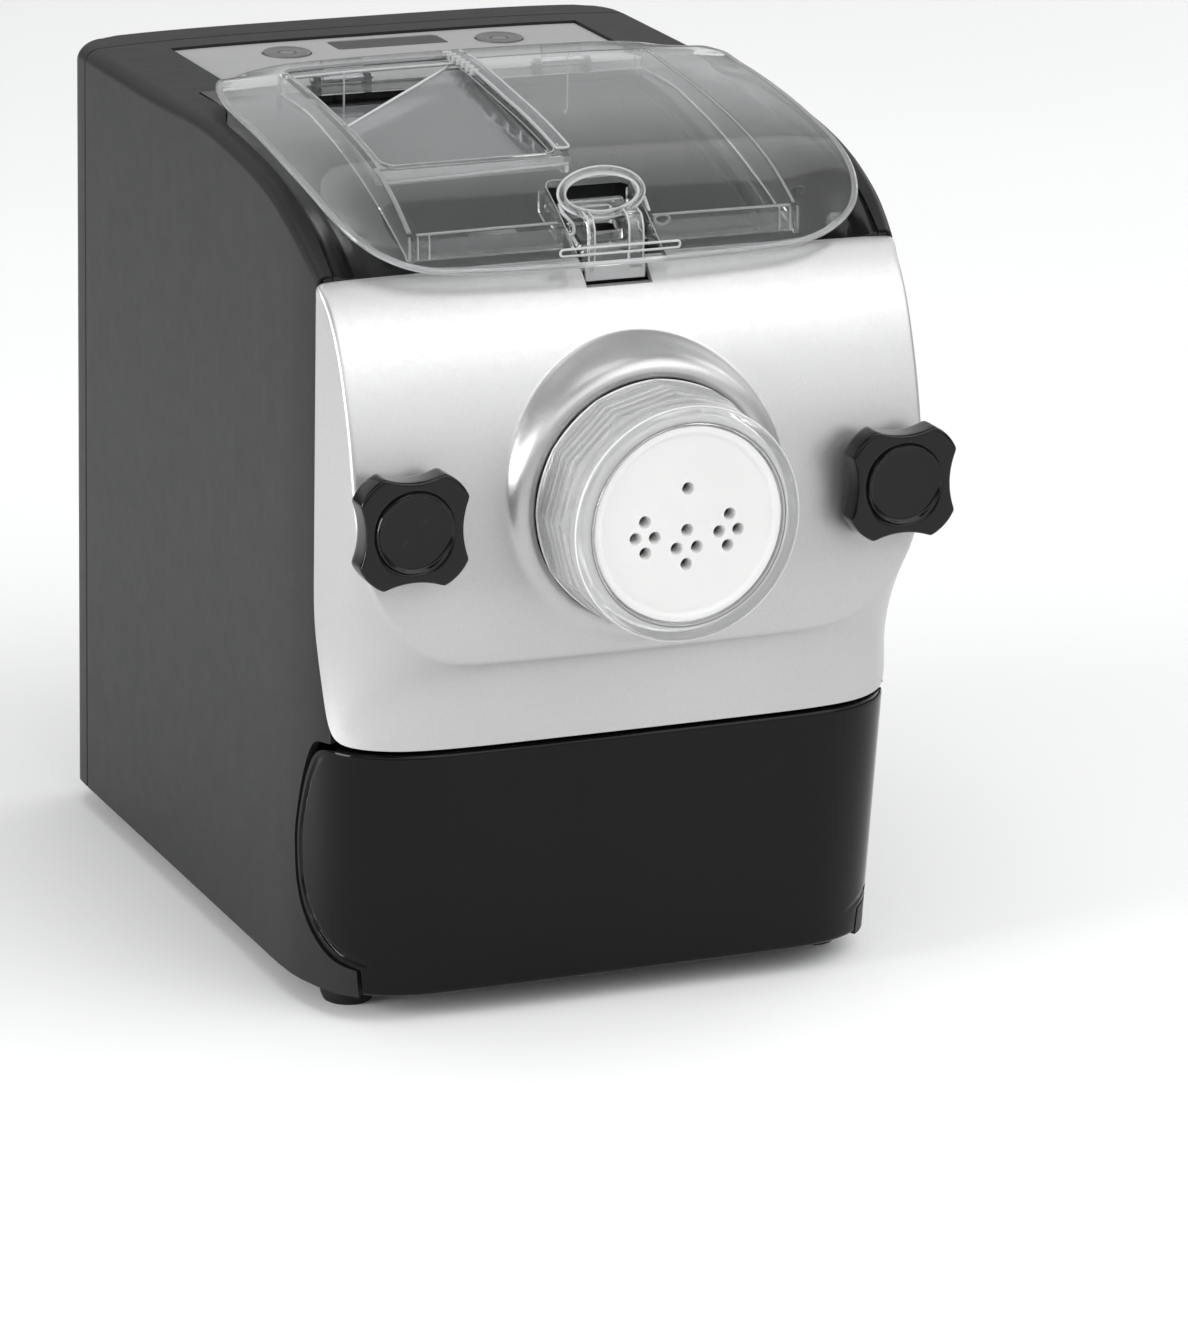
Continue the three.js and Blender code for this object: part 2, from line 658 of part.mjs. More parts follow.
// ---------------------------------------------------------------- drive train
function gearOutline(cx, cz, teeth, phase) {
  const r = (GEAR_M * teeth) / 2,
    ra = r + 0.9 * GEAR_M,
    rd = r - 1.25 * GEAR_M,
    step = (2 * Math.PI) / teeth,
    out = [];
  for (let k = 0; k < teeth; k++) {
    const a = phase + k * step;
    for (const [rr, d] of [[rd, -0.31], [ra, -0.11], [ra, 0.11], [rd, 0.31]])
      out.push([cx + rr * Math.cos(a + d * step), cz + rr * Math.sin(a + d * step)]);
  }
  return out;
}
const UP = Math.PI / 2;
{
  // Gearbox case, open to the front, and its screwed cover.
  const capsule = (d) => {
    const out = [];
    for (let i = 0; i <= 7; i++) {
      const a = Math.PI + (Math.PI * i) / 7;
      out.push([(41.4 + d) * Math.cos(a), MOTOR_Z + 29 + (41.4 + d) * Math.sin(a)]);
    }
    for (let i = 0; i <= 7; i++) {
      const a = (Math.PI * i) / 7;
      out.push([(37.6 + d) * Math.cos(a), AXIS_Z + (37.6 + d) * Math.sin(a)]);
    }
    return out;
  };
  let rear = cut(prism(capsule(2.2), "v", 63, 85.6), prism(capsule(0), "v", 65.4, 90));
  rear = join(rear, bar(0, AXIS_Z, 9, 65, 68.6, 12), bar(0, MID_Z, 6, 65, 68.6, 12));
  rear = cut(rear, bar(0, MOTOR_Z, 6, 60, 70, 12), bar(0, MID_Z, 3.3, 60, 70, 12), bar(0, AXIS_Z, 5.5, 64, 70, 14));
  for (const sx of [-1, 1]) rear = join(rear, box(sx > 0 ? 38 : -54, sx > 0 ? 54 : -38, 63, 66, 142, 156));
  for (const sx of [-1, 1]) rear = cut(rear, bar(sx * 49, 149, 2, 60, 70, 10));
  piece(gearbox, "gearbox_case", rear, MAT.dark);
  let cover = prism(capsule(2.2), "v", 86, 88.4);
  cover = join(cover, bar(0, AXIS_Z, 13, 84, 91.4, 16));
  cover = cut(cover, bar(0, AXIS_Z, 10.6, 80, 89.4, 16), bar(0, AXIS_Z, 6.8, 80, 95, 14), bar(0, MID_Z, 3.3, 80, 95, 12));
  piece(gearbox, "gearbox_cover", cover, MAT.dark);
  piece(gearbox, "intermediate_pin", bar(0, MID_Z, 2.95, 64, 88.6, 12), MAT.steel);
  // Output shaft's bush, with a flange behind the cover's boss.
  piece(
    gearbox, "shaft_bearing",
    turned([[6.7, 84.3], [10.1, 84.3], [10.1, 89.1], [6.7, 89.1]], 0, AXIS_Z, 16),
    MAT.brass,
  );
  piece(
    casing, "shaft_seal",
    turned(
      [[6.6, 91.7], [9.2, 91.7], [9.2, 94.9], [12.6, 94.9], [12.6, 96.6], [6.6, 96.6]],
      0, AXIS_Z, 16,
    ),
    MAT.rubber,
  );
  // Motor: drawn can with a necked front, end cap with brush boxes.
  let can = turned(
    [[11, 62.7], [11, 58.6], [29, 58.6], [33.5, 55], [33.5, 0.6], [31, 0.6], [31, 53.4], [9, 55.6], [3.4, 55.6], [3.4, 62.7]],
    0, MOTOR_Z, 16,
  );
  piece(casing, "motor_can", can, MAT.steel);
  let cap = turned(
    [[3.4, 0], [33.5, 0], [33.5, -4], [28, -7], [10, -7], [10, -9.4], [3.4, -9.4]],
    0, MOTOR_Z, 16,
  );
  for (const sx of [-1, 1]) cap = join(cap, box(sx > 0 ? 14 : -26, sx > 0 ? 26 : -14, -9.6, -4, MOTOR_Z - 5, MOTOR_Z + 5));
  for (const a of [1.57, 4.71]) cap = cut(cap, bar(21 * Math.cos(a), MOTOR_Z + 21 * Math.sin(a), 5, -12, 4, 10));
  piece(casing, "motor_end_cap", cap, MAT.dark);
  // Rotor with its shaft, and the pinion pressed on the front end.
  piece(
    motorShaft, "motor_rotor",
    turned([[0, -19.6], [2.9, -19.6], [2.9, 12], [21, 12], [21, 46], [2.9, 46], [2.9, 70.6], [0, 70.6]], 0, MOTOR_Z, 16),
    MAT.steel,
  );
  piece(
    motorShaft, "motor_pinion",
    cut(prism(gearOutline(0, MOTOR_Z, TEETH.motor, UP), "v", 69.4, 76.4), bar(0, MOTOR_Z, 3.2, 60, 73.4, 12)),
    MAT.steel,
  );
  // Cooling fan: hub and seven flat blades.
  let fan = bar(0, MOTOR_Z, 9, -18.4, -11, 18);
  for (let k = 0; k < 7; k++) {
    const a = (2 * Math.PI * k) / 7,
      c = Math.cos(a),
      s = Math.sin(a);
    const blade = [[5, -15.6], [29, -17.6], [29, -16.2], [5, -13.8]];
    const wide = [-5.4, 5.4];
    const g = [];
    for (const w of wide)
      g.push(blade.map(([r, v]) => [r * c - w * s * (r / 29 + 0.25), v + (w > 0 ? 2.4 : 0), MOTOR_Z + r * s + w * c * (r / 29 + 0.25)]));
    fan = join(fan, loft(g));
  }
  fan = cut(fan, bar(0, MOTOR_Z, 3.2, -25, 0, 12));
  piece(motorShaft, "cooling_fan", fan, MAT.dark);
  // Intermediate gear: large wheel and small pinion in one piece.
  let mid = join(
    prism(gearOutline(0, MID_Z, TEETH.wheel, -UP - Math.PI / TEETH.wheel), "v", 69.6, 75.2),
    prism(gearOutline(0, MID_Z, TEETH.small, UP), "v", 75, 84.4),
  );
  mid = cut(mid, bar(0, MID_Z, 3.3, 60, 90, 12));
  piece(midShaft, "intermediate_gear", mid, MAT.natural);
  piece(
    output, "output_gear",
    cut(
      join(
        prism(gearOutline(0, AXIS_Z, TEETH.output, -UP - Math.PI / TEETH.output), "v", 77.2, 83),
        bar(0, AXIS_Z, 12, 76.2, 83, 16),
      ),
      prism(circle(0, AXIS_Z, 6.4, 6), "v", 60, 90),
    ),
    MAT.natural,
  );
  piece(
    output, "output_shaft",
    join(
      bar(0, AXIS_Z, 5, 66.4, 76.4, 14),
      prism(circle(0, AXIS_Z, 6.05, 6), "v", 76, 83.4),
      bar(0, AXIS_Z, 6.1, 83, 98, 14),
      prism(circle(0, AXIS_Z, 5.6, 6), "v", 97, 112),
    ),
    MAT.steel,
  );
}

// ---------------------------------------------------------------- mixing screw
{
  let screw = bar(0, AXIS_Z, 8.2, 98.4, 222, 14);
  screw = join(screw, bar(0, AXIS_Z, 12, 98.4, 116, 14), bar(0, AXIS_Z, 7.4, 220, 284, 14));
  // Kneading bars that lean around the shaft.
  const paddles = [
    [108, 0.2], [126, 1.9], [144, 3.5], [162, 5.1], [180, 0.4], [198, 2.2],
  ];
  for (const [v, a] of paddles) {
    const dir = (t, w, dv) => {
      const ang = a + t;
      return ([r, s]) => [
        r * Math.cos(ang) - s * Math.sin(ang), v + dv, AXIS_Z + r * Math.sin(ang) + s * Math.cos(ang),
      ];
    };
    const sec = (r, w, h, twist, lean) => {
      const f = dir(twist, 0, 0);
      return [[-w, -h], [w, -h], [w, h], [-w, h]].map(([s, dv]) => {
        const q = f([r, s]);
        return [q[0], q[1] + dv + lean, q[2]];
      });
    };
    screw = join(
      screw,
      loft([sec(5, 4.2, 3.4, 0, 0), sec(32, 3.8, 3.2, 0.1, 2), sec(50.6, 3.6, 4.6, 0.38, 8)]),
    );
  }
  // Auger flight inside the barrel.
  const turns = 2.6, n = 24, rings = [];
  for (let i = 0; i <= n; i++) {
    const a = (2 * Math.PI * turns * i) / n,
      v = 228 + (52 * i) / n;
    rings.push(
      [[6.4, -2.6], [25.4, -1.3], [25.4, 1.3], [6.4, 2.6]].map(([r, dv]) => [
        r * Math.cos(a), v + dv, AXIS_Z + r * Math.sin(a),
      ]),
    );
  }
  screw = join(screw, loft(rings));
  // Hexagonal socket for the output shaft.
  screw = cut(screw, prism(circle(0, AXIS_Z, 6.0, 6), "v", 90, 113));
  piece(output, "mixing_screw", screw, MAT.white);
}

// ---------------------------------------------------------------- clear lid
const lidTop = table([
  [80, 281.5], [90, 281.8], [100, 281.8], [117, 281], [134, 279.8], [156, 277.2],
  [168, 275.2], [178, 273.2], [188, 270.8], [197, 268], [205, 264.8], [212, 261.2],
  [219, 257.2], [225, 253.4], [230, 250], [234, 247.6], [237.4, 246],
]);
// Half width of the lid's flange along the depth.
const lidHalf = table([
  [81.5, 70], [82.4, 76], [85, 82.5], [89, 87.5], [94, 90.5], [101, 93], [117, 96],
  [134, 97], [174, 97], [196, 96.2], [207, 95.2], [216, 93.6], [222.4, 91],
  [227, 87], [230, 82], [232, 77], [234, 70], [235.6, 60], [237.2, 40],
]);
const lidStations = [81.6, 85.4, 92, 104, 134, 158, 178, 194, 206, 215, 223, 229, 236.2];
{
  const across = [-1, -0.86, -0.6, 0, 0.6, 0.86, 1];
  const droop = (s) => -1.9 * Math.pow(Math.max(0, (Math.abs(s) - 0.66) / 0.34), 2);
  const grid = (d) =>
    lidStations.map((v) => {
      const w = lidHalf(v);
      // The surface normal tips forward with the slope.
      const slope = (lidTop(v + 1) - lidTop(v - 1)) / 2,
        l = Math.hypot(1, slope);
      return across.map((s) => [s * w, v + (slope / l) * d, lidTop(v) + droop(s) - d / l]);
    });
  let lid = sheet(grid(0), grid(LID_T));
  // Inner frame walls that stand on the surround.
  const frameX = table([[95, 63.4], [150, 66.4], [222, 70.2]]);
  const st = [95.6, 118, 130, 143, 156, 169, 182, 195, 207, 217, 221.4];
  for (const sx of [-1, 1]) {
    const outerW = st.map((v) => [
      [sx * frameX(v), v, lidTop(v) - 1.2], [sx * frameX(v), v, deckZ(v) + 0.5],
    ]);
    const innerW = st.map((v) => [
      [sx * (frameX(v) - 1.8), v, lidTop(v) - 1.2], [sx * (frameX(v) - 1.8), v, deckZ(v) + 0.5],
    ]);
    lid = join(lid, sheet(outerW, innerW));
  }
  lid = join(
    lid,
    prism([[95.6, deckZ(96) + 0.5], [97.4, deckZ(97) + 0.5], [97.4, 280.6], [95.6, 280.6]], "x", -63.2, 63.2),
    prism([[219.6, deckZ(218.6) + 0.5], [221.4, deckZ(220.6) + 0.5], [221.4, 255.2], [219.6, 256.2]], "x", -69.6, 69.6),
  );
  // Water funnel in the left rear: rear and left walls are the frame's, the
  // right wall is slotted, the floor falls towards it from a diagonal ridge.
  const funnelTop = prism([[-62, 98.6], [-1, 98.6], [-1, 184.4], [-64.6, 184.4]], "z", 262, 300);
  lid = cut(lid, funnelTop);
  const under = (v) => lidTop(v) - 1.0;
  let wall = prism(
    [[96.8, under(97)], [117, under(117)], [134, under(134)], [156, under(156)], [170, under(170)], [185.6, under(185.6)],
     [185.6, 263], [97, 268]],
    "x", -1.2, 0.8,
  );
  for (let k = 0; k < 6; k++) wall = cut(wall, box(-3, 3, 110 + k * 11.6, 113 + k * 11.6, 250, 269.6 - k * 0.3));
  const front = prism([[184, under(184)], [186, under(186)], [186, 262], [184, 262]], "x", -65, 0.8);
  const floor = loft([
    [[-63.6, 152, 275.5], [-0.2, 98.4, 277], [-0.2, 98.4, 275.2], [-63.6, 152, 273.7]],
    [[-63.6, 184.6, 266.6], [-0.2, 184.6, 264.6], [-0.2, 184.6, 262.8], [-63.6, 184.6, 264.8]],
  ]);
  lid = join(lid, wall, front, floor);
  // Front notch for the latch.
  lid = cut(lid, prism(roundRect(-15.4, 15.4, 203, 245, 3, 3), "z", 230, 290));
  const cheek = (sx) =>
    prism([[203, 262], [220.6, 253], [220.6, 247.4], [203, 254.6]], "x", sx > 0 ? 15 : -17, sx > 0 ? 17 : -15);
  lid = join(lid, cheek(-1), cheek(1));
  // Latch pivot studs on the cheeks.
  for (const sx of [-1, 1])
    lid = join(lid, pin(208, 257, 1.4, sx > 0 ? 8 : -16, sx > 0 ? 16 : -8, 10));
  // Hinge knuckles under the rear edge.
  for (const sx of [-1, 1]) {
    let k = prism(
      [...circle(HINGE_V, HINGE_Z, 2.1, 14)],
      "x", sx * HINGE_X - 7.3, sx * HINGE_X + 7.3,
    );
    k = join(k, box(sx * HINGE_X - 7.3, sx * HINGE_X + 7.3, 82.8, 85.6, HINGE_Z, 279.9));
    k = cut(k, pin(HINGE_V, HINGE_Z, 1.15, sx * HINGE_X - 9, sx * HINGE_X + 9, 10));
    lid = join(lid, k);
  }
  piece(lidGroup, "lid", lid, MAT.clear);

  // Latch: plate between the cheeks, oval finger ring above, hook below.
  let latch = prism(
    [[205.4, 259.4], [206.6, 254.2], [212, 252], [223.4, 247], [226.2, 245.6], [226.2, 240.6],
     [228.8, 240.6], [229.4, 246.4], [226.4, 249.8], [213, 257.2], [209.4, 260.4]],
    "x", -10.8, 10.8,
  );
  latch = cut(latch, pin(208, 257, 1.8, -14, 14, 10));
  const ringRows = [];
  for (let i = 0; i < 18; i++) {
    const a = (2 * Math.PI * i) / 18;
    ringRows.push([14.3 * Math.cos(a), 6.9 * Math.sin(a)]);
  }
  const outerRing = prism(ringRows.map(([x, z]) => [x * 1.1, 264 + z * 1.17]), "v", 214.9, 218.1);
  const innerRing = prism(ringRows.map(([x, z]) => [x * 0.9, 264 + z * 0.81]), "v", 208, 224);
  latch = join(latch, cut(outerRing, innerRing), box(-10.4, -7.6, 214.9, 218.1, 252.6, 258.6), box(7.6, 10.4, 214.9, 218.1, 252.6, 258.6));
  latch = cut(latch, pin(208, 257, 1.8, -14, 14, 10));
  piece(latchGroup, "lid_latch", latch, MAT.clear);
}

// ---------------------------------------------------------------- front panel
const seamX = table([[88, 101.1], [105, 102.2], [118, 103], [137, 103.7], [243, 103.6]]);
const seamV = table([[88, 235.6], [91, 235.2], [105, 232], [118, 228.4], [137, 225.6], [243, 225.6]]);
const faceV = table([
  [88, 253], [100, 253.1], [112, 253.9], [117, 255.6], [120, 259.2], [123, 261.6],
  [128, 263.2], [134, 263.8], [141, 263.9], [147, 263.4], [155, 262.4], [166, 261],
  [183, 257.8], [200, 253.2], [212, 248.8], [225, 242.8], [234, 236.4], [240, 230.8], [243.4, 227.6],
]);
const edgeX = table([
  [88, 62], [112, 62], [117, 64], [120, 70], [123, 77], [129.7, 84.5], [134.6, 88.8],
  [140.4, 92.8], [146.6, 96.2], [153.9, 99.2], [166, 101.2], [183, 102], [243.4, 102.6],
]);
const edgeV = table([
  [88, 252.8], [112, 253.4], [117, 254.9], [120, 258], [123, 260.4], [129.7, 262.6], [134.6, 263],
  [140.4, 263], [146.6, 262.4], [153.9, 260.8], [166, 259.1], [183, 256.4], [200, 252.4],
  [212, 248], [225, 242.2], [234, 235.8], [240, 230.4], [243.4, 227.4],
]);
const ctrlX = table([[88, 94], [112, 95], [123, 97.4], [130, 99.4], [140, 101.4], [150, 102.6], [166, 103.2], [243, 103.4]]);
const ctrlV = table([[88, 250.6], [112, 250], [123, 249.4], [140, 247.6], [166, 243], [212, 238], [234, 230.6], [243, 226.4]]);
function panelSection(z, d) {
  const half = [];
  for (let i = 0; i <= 2; i++) {
    const t = i / 2,
      a = (1 - t) * (1 - t),
      b = 2 * t * (1 - t),
      c = t * t;
    half.push([
      a * seamX(z) + b * ctrlX(z) + c * edgeX(z),
      a * seamV(z) + b * ctrlV(z) + c * edgeV(z),
    ]);
  }
  half.push([edgeX(z) - 3, faceV(z) - 0.2], [edgeX(z) * 0.5, faceV(z)], [0, faceV(z)]);
  const o = d ? inset(half, d) : half;
  return o.concat(o.slice(0, -1).reverse().map(([x, v]) => [-x, v])).map(([x, v]) => [x, v, z]);
}
const TOWERS = [[-36, 135, 262], [36, 135, 262], [-46, 214, 247], [46, 214, 247]];
{
  const levels = [
    88.8, 113, 118.4, 123.4, 132, 142, 154, 172, 192, 210, 226, 236, 243.4,
  ];
  const back = levels.map((z) => panelSection(z, WALL));
  // The upper edge turns back so that the skin keeps its thickness on the slope.
  back[levels.length - 1] = back[levels.length - 1].map(([x, v, z]) => [x, v - 0.6, z]);
  let skin = sheet(levels.map((z) => panelSection(z, 0)), back);
  // Bell-shaped collar around the nozzle.
  skin = join(
    skin,
    turned(
      [[44.2, 232], [44.2, 243], [51.4, 242.6], [49.9, 253.4], [47.8, 260.2], [44.6, 263.4], [41.4, 261.4], [41.4, 232]],
      0, AXIS_Z, 28,
    ),
  );
  skin = cut(skin, bar(0, AXIS_Z, 41.4, 200, 300, 28));
  // Seats for the knobs.
  for (const sx of [-1, 1]) {
    skin = join(skin, turned([[0, 254], [12.5, 254], [12.2, 262.2], [0, 262.2]], sx * KNOB_X, AXIS_Z, 16));
    skin = cut(skin, bar(sx * KNOB_X, AXIS_Z, 4.2, 240, 300, 12));
  }
  // Notch for the lid's latch, open upwards and to both faces.
  skin = cut(skin, prism(roundRect(-11.8, 11.8, 220, 240, 0.6, 1), "z", 236.6, 250));
  // Screw towers that hold the barrel and the liner.
  for (const [x, z, to] of TOWERS) skin = join(skin, bar(x, z, 4, 229.4, to, 8));
  // The seam to the casing and its deck stays open by a fine gap.
  skin = cut(skin, box(-110, 110, 200, 225.5, 100, 300));
  piece(panel, "front_panel", skin, MAT.silver);

  // Liner that closes the bowl's front and carries the barrel.
  const U = (d, top) => bowlOutline(BOWL_R + 3 + d, top);
  let liner = prism(U(0, 234), "v", 222, 225);
  liner = cut(liner, bar(0, AXIS_Z, BARREL_R, 200, 240, 22));
  for (const [x, z] of TOWERS) liner = join(liner, bar(x, z, 4.4, 224.8, 229, 8));
  piece(panel, "panel_liner", liner, MAT.white);
  const gasket = cut(prism(U(2.2, 236.2), "v", 222.1, 226), prism(U(0.3, 234.3), "v", 220, 230));
  piece(panel, "bowl_gasket", gasket, MAT.rubber);
  // Extrusion barrel with an outer thread for the ring.
  const thread = [];
  for (let k = 0; k < 2; k++)
    thread.push([32.6, 269 + k * 6], [34.8, 271 + k * 6], [32.6, 273 + k * 6]);
  piece(
    panel, "extrusion_barrel",
    turned(
      [[BARREL_R, 225.4], [38, 225.4], [38, 228], [32.6, 228], ...thread, [32.6, 287], [BARREL_R, 287]],
      0, AXIS_Z, 22,
    ),
    MAT.white,
  );
  piece(
    panel, "barrel_seal",
    turned([[33.1, 228.4], [43.4, 228.4], [43.4, 231.6], [33.1, 231.6]], 0, AXIS_Z, 22),
    MAT.rubber,
  );
}

// ---------------------------------------------------------------- die and ring
{
  let die = turned(
    [[0, 287.4], [36, 287.4], [36, 290.6], [33, 290.6], [33, 293.8], [30.6, 293.8], [29.8, 293.1], [0, 293.1]],
    0, AXIS_Z, 28,
  );
  const holes = [];
  const clusters = [
    [-15, 2], [-11.4, -3.6], [-18.2, -3.4], [-14.6, -8.6],
    [0, -2], [-3.6, -8], [3.6, -8], [0, -13.6],
    [15, 2], [11.4, -3.6], [18.2, -3.4], [14.6, -8.6], [0, 12],
  ];
  for (const [x, z] of clusters) holes.push(bar(x, AXIS_Z + z, 1.9, 280, 300, 8));
  piece(nozzle, "die_disc", cut(die, ...holes), MAT.white);

  // Clear ring: twelve-sided grip, three ribs, tapering lip.
  const grip = [
    [36.4, 264.4], [40.8, 264.4], [RING_R, 265.4], [RING_R, 269], [40.6, 270], [RING_R, 271],
    [RING_R, 276], [40.6, 283.4], [39.6, 293.2], [38.8, 294.4], [33.6, 294.4], [33.6, 291], [36.4, 291],
  ];
  piece(nozzle, "nozzle_ring", turned(grip, 0, AXIS_Z, 26), MAT.clear);
}

// ---------------------------------------------------------------- knobs
function lobed(r0, d, n = 32) {
  // Four lobes on the diagonals with shallow scallops between them.
  const out = [];
  for (let i = 0; i < n; i++) {
    const a = (2 * Math.PI * i) / n;
    const w = Math.abs(((a - Math.PI / 4 + 4 * Math.PI) % (Math.PI / 2)) - 0);
    const t = Math.min(w, Math.PI / 2 - w) / (Math.PI / 4); // 0 on a lobe, 1 in a scallop
    const s = t < 0.34 ? 0 : (t - 0.34) / 0.66;
    const r = KNOB_R - (KNOB_R - 17.2) * Math.sin((s * Math.PI) / 2) - d;
    out.push([r0 + r * Math.cos(a), AXIS_Z + r * Math.sin(a)]);
  }
  return out;
}
for (const [side, sx] of [["left", -1], ["right", 1]]) {
  const cx = sx * KNOB_X;
  const g = assembly("knob_group_" + side, cx, 262.6, AXIS_Z, panel);
  piece(g, "knob_washer_" + side, turned([[4.4, 262.5], [9.6, 262.5], [9.6, 263.3], [4.4, 263.3]], cx, AXIS_Z, 16), MAT.steel);
  const rows = [[263.7, 2.2], [265.6, 0], [272.8, 0], [274.2, 1]];
  let knob = loft(rows.map(([v, d]) => lobed(cx, d).map(([x, z]) => [x, v, z])));
  knob = join(knob, turned([[0, 272], [12.8, 272], [12.8, 275], [0, 275]], cx, AXIS_Z, 20));
  knob = cut(knob, turned([[12.8, 272.8], [14, 272.8], [14, 280], [12.8, 280]], cx, AXIS_Z, 20));
  knob = cut(knob, bar(cx, AXIS_Z, 5.6, 262, 272.9, 14));
  piece(g, "knob_" + side, knob, MAT.gloss);
  piece(
    g, "knob_insert_" + side,
    turned([[3, 263.9], [5.2, 263.9], [5.2, 272.6], [3, 272.6]], cx, AXIS_Z, 14),
    MAT.brass,
  );
}

// ---------------------------------------------------------------- drawer
{
  const levels = [0.8, 44, 87.4];
  const ring = (z, d) => {
    const o = inset(outline(z), d);
    const half = d ? o.map(([x, v], i) => (i ? [x, v] : [x, 199])) : o;
    return half.concat(half.slice(0, -1).reverse().map(([x, v]) => [-x, v])).map(([x, v]) => [x, v, z]);
  };
  const outer = loft(levels.map((z) => ring(z, 0)));
  const inner = loft([-1, ...levels.slice(1, -1), 84.6].map((z) => ring(Math.max(z, 0.8), WALL).map(([x, v]) => [x, v, z])));
  // The cheek's rear boundary keeps a gap to the casing's edge.
  const keep = prism(
    [[239.6, -2], [239.6, 10.4], [231.6, 13.4], [222.6, 20.6], [216.4, 29.4], [213.4, 39], [213, 50],
     [216.4, 65], [222, 78.2], [227.6, 84.6], [236.4, 86.6], [236.4, 90], [262, 90], [262, -2]],
    "x", -120, 120,
  );
  let front = cut(outer, inner).intersect(keep);
  // Corner blocks behind the cheeks where the tray's front wall is screwed on.
  front = join(front, box(-70, -60, 236.6, 247.6, 14, 60), box(60, 70, 236.6, 247.6, 14, 60));
  piece(drawer, "drawer_front", front, MAT.gloss);
  let tray = cut(
    prism(roundRect(-91.6, 91.6, 94, 236.2, 10, 3), "z", 10.8, 74),
    prism(roundRect(-89.4, 89.4, 96.2, 234, 8, 3), "z", 13, 80),
  );
  piece(drawer, "drawer_tray", tray, MAT.dark);
}

export default root;
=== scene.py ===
import math

import bmesh
import bpy
import numpy as np
from mathutils import Matrix, Vector


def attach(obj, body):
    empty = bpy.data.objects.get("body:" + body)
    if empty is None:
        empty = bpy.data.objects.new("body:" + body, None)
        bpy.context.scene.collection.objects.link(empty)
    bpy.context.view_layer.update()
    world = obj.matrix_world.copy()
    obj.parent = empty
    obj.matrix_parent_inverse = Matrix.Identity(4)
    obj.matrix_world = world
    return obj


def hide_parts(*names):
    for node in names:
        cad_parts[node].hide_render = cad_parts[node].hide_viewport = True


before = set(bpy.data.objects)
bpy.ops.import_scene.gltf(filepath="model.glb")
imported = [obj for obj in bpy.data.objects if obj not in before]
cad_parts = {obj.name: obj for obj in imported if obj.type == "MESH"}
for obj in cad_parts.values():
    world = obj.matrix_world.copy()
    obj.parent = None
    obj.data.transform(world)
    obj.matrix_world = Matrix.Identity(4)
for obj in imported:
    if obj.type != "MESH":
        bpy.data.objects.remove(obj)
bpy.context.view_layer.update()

scene = bpy.context.scene
MM = 0.001
SHIFT, FOOT = 133.3, 9.0  # the layout's parting line and underside in the frame
AXIS_Z = 171.0


def P(x, v, z):
    """Layout point (sideways, forward from the parting line, up from the underside; mm) in the frame's metres."""
    return (x * MM, (SHIFT - v) * MM, (z + FOOT) * MM)


# ------------------------------------------------------------------ camera
def make_camera():
    a, e, roll = math.radians(-23.43), math.radians(17.60), math.radians(1.19)
    tx, ty, dist = 87.885, 31.5, 2457.84
    B = Vector((math.sin(a) * math.cos(e), -math.cos(a) * math.cos(e), math.sin(e)))
    right = Vector((math.cos(a), math.sin(a), 0))
    up = B.cross(right)
    R = math.cos(roll) * right + math.sin(roll) * up
    U = -math.sin(roll) * right + math.cos(roll) * up
    at = tx * R + ty * U + dist * B + Vector((0, SHIFT, FOOT))
    cam = bpy.data.cameras.new("camera")
    cam.sensor_fit = "AUTO"
    cam.sensor_width = 36.0
    cam.lens = 6634.0 / 1343.0 * 36.0
    cam.clip_start, cam.clip_end = 0.05, 60.0
    ob = bpy.data.objects.new("camera", cam)
    m = Matrix((R, U, B)).transposed().to_4x4()
    m.translation = at * MM
    ob.matrix_world = m
    scene.collection.objects.link(ob)
    scene.camera = ob


make_camera()


# ------------------------------------------------------------------ small maths
def pchip(rows):
    """Smooth interpolation through (x, y) rows without overshoot."""
    x = np.array([r[0] for r in rows], float)
    y = np.array([r[1] for r in rows], float)
    h = np.diff(x)
    d = np.diff(y) / h
    m = np.zeros_like(y)
    m[0], m[-1] = d[0], d[-1]
    for i in range(1, len(x) - 1):
        if d[i - 1] * d[i] > 0:
            w1, w2 = 2 * h[i] + h[i - 1], h[i] + 2 * h[i - 1]
            m[i] = (w1 + w2) / (w1 / d[i - 1] + w2 / d[i])

    def f(t):
        t = np.clip(np.asarray(t, float), x[0], x[-1])
        i = np.clip(np.searchsorted(x, t, side="right") - 1, 0, len(h) - 1)
        s = (t - x[i]) / h[i]
        return (
            (1 + 2 * s) * (1 - s) ** 2 * y[i] + s * (1 - s) ** 2 * h[i] * m[i]
            + s * s * (3 - 2 * s) * y[i + 1] + s * s * (s - 1) * h[i] * m[i + 1]
        )

    return f


def faired(rows, sigma):
    """pchip, then smoothed over about sigma along x, so that gloss runs evenly over it."""
    f = pchip(rows)
    x0, x1 = rows[0][0], rows[-1][0]
    step = min(0.5, sigma / 4)
    pad = int(4 * sigma / step)
    n = int((x1 - x0) / step) + 1
    xs = x0 + step * np.arange(-pad, n + pad)
    inside = np.clip(xs, x0, x1)
    ys = f(inside)
    # straight on past both ends, so that the ends stay where they are
    s0 = (f(x0 + 2.0) - f(x0)) / 2.0
    s1 = (f(x1) - f(x1 - 2.0)) / 2.0
    ys = ys + np.where(xs < x0, (xs - x0) * s0, 0) + np.where(xs > x1, (xs - x1) * s1, 0)
    k = np.exp(-0.5 * (step * np.arange(-pad, pad + 1) / sigma) ** 2)
    k /= k.sum()
    out = np.convolve(ys, k, mode="valid")
    return lambda t: np.interp(t, xs[pad:-pad], out)


def smoothstep(a, b, t):
    s = np.clip((np.asarray(t, float) - a) / (b - a), 0, 1)
    return s * s * (3 - 2 * s)


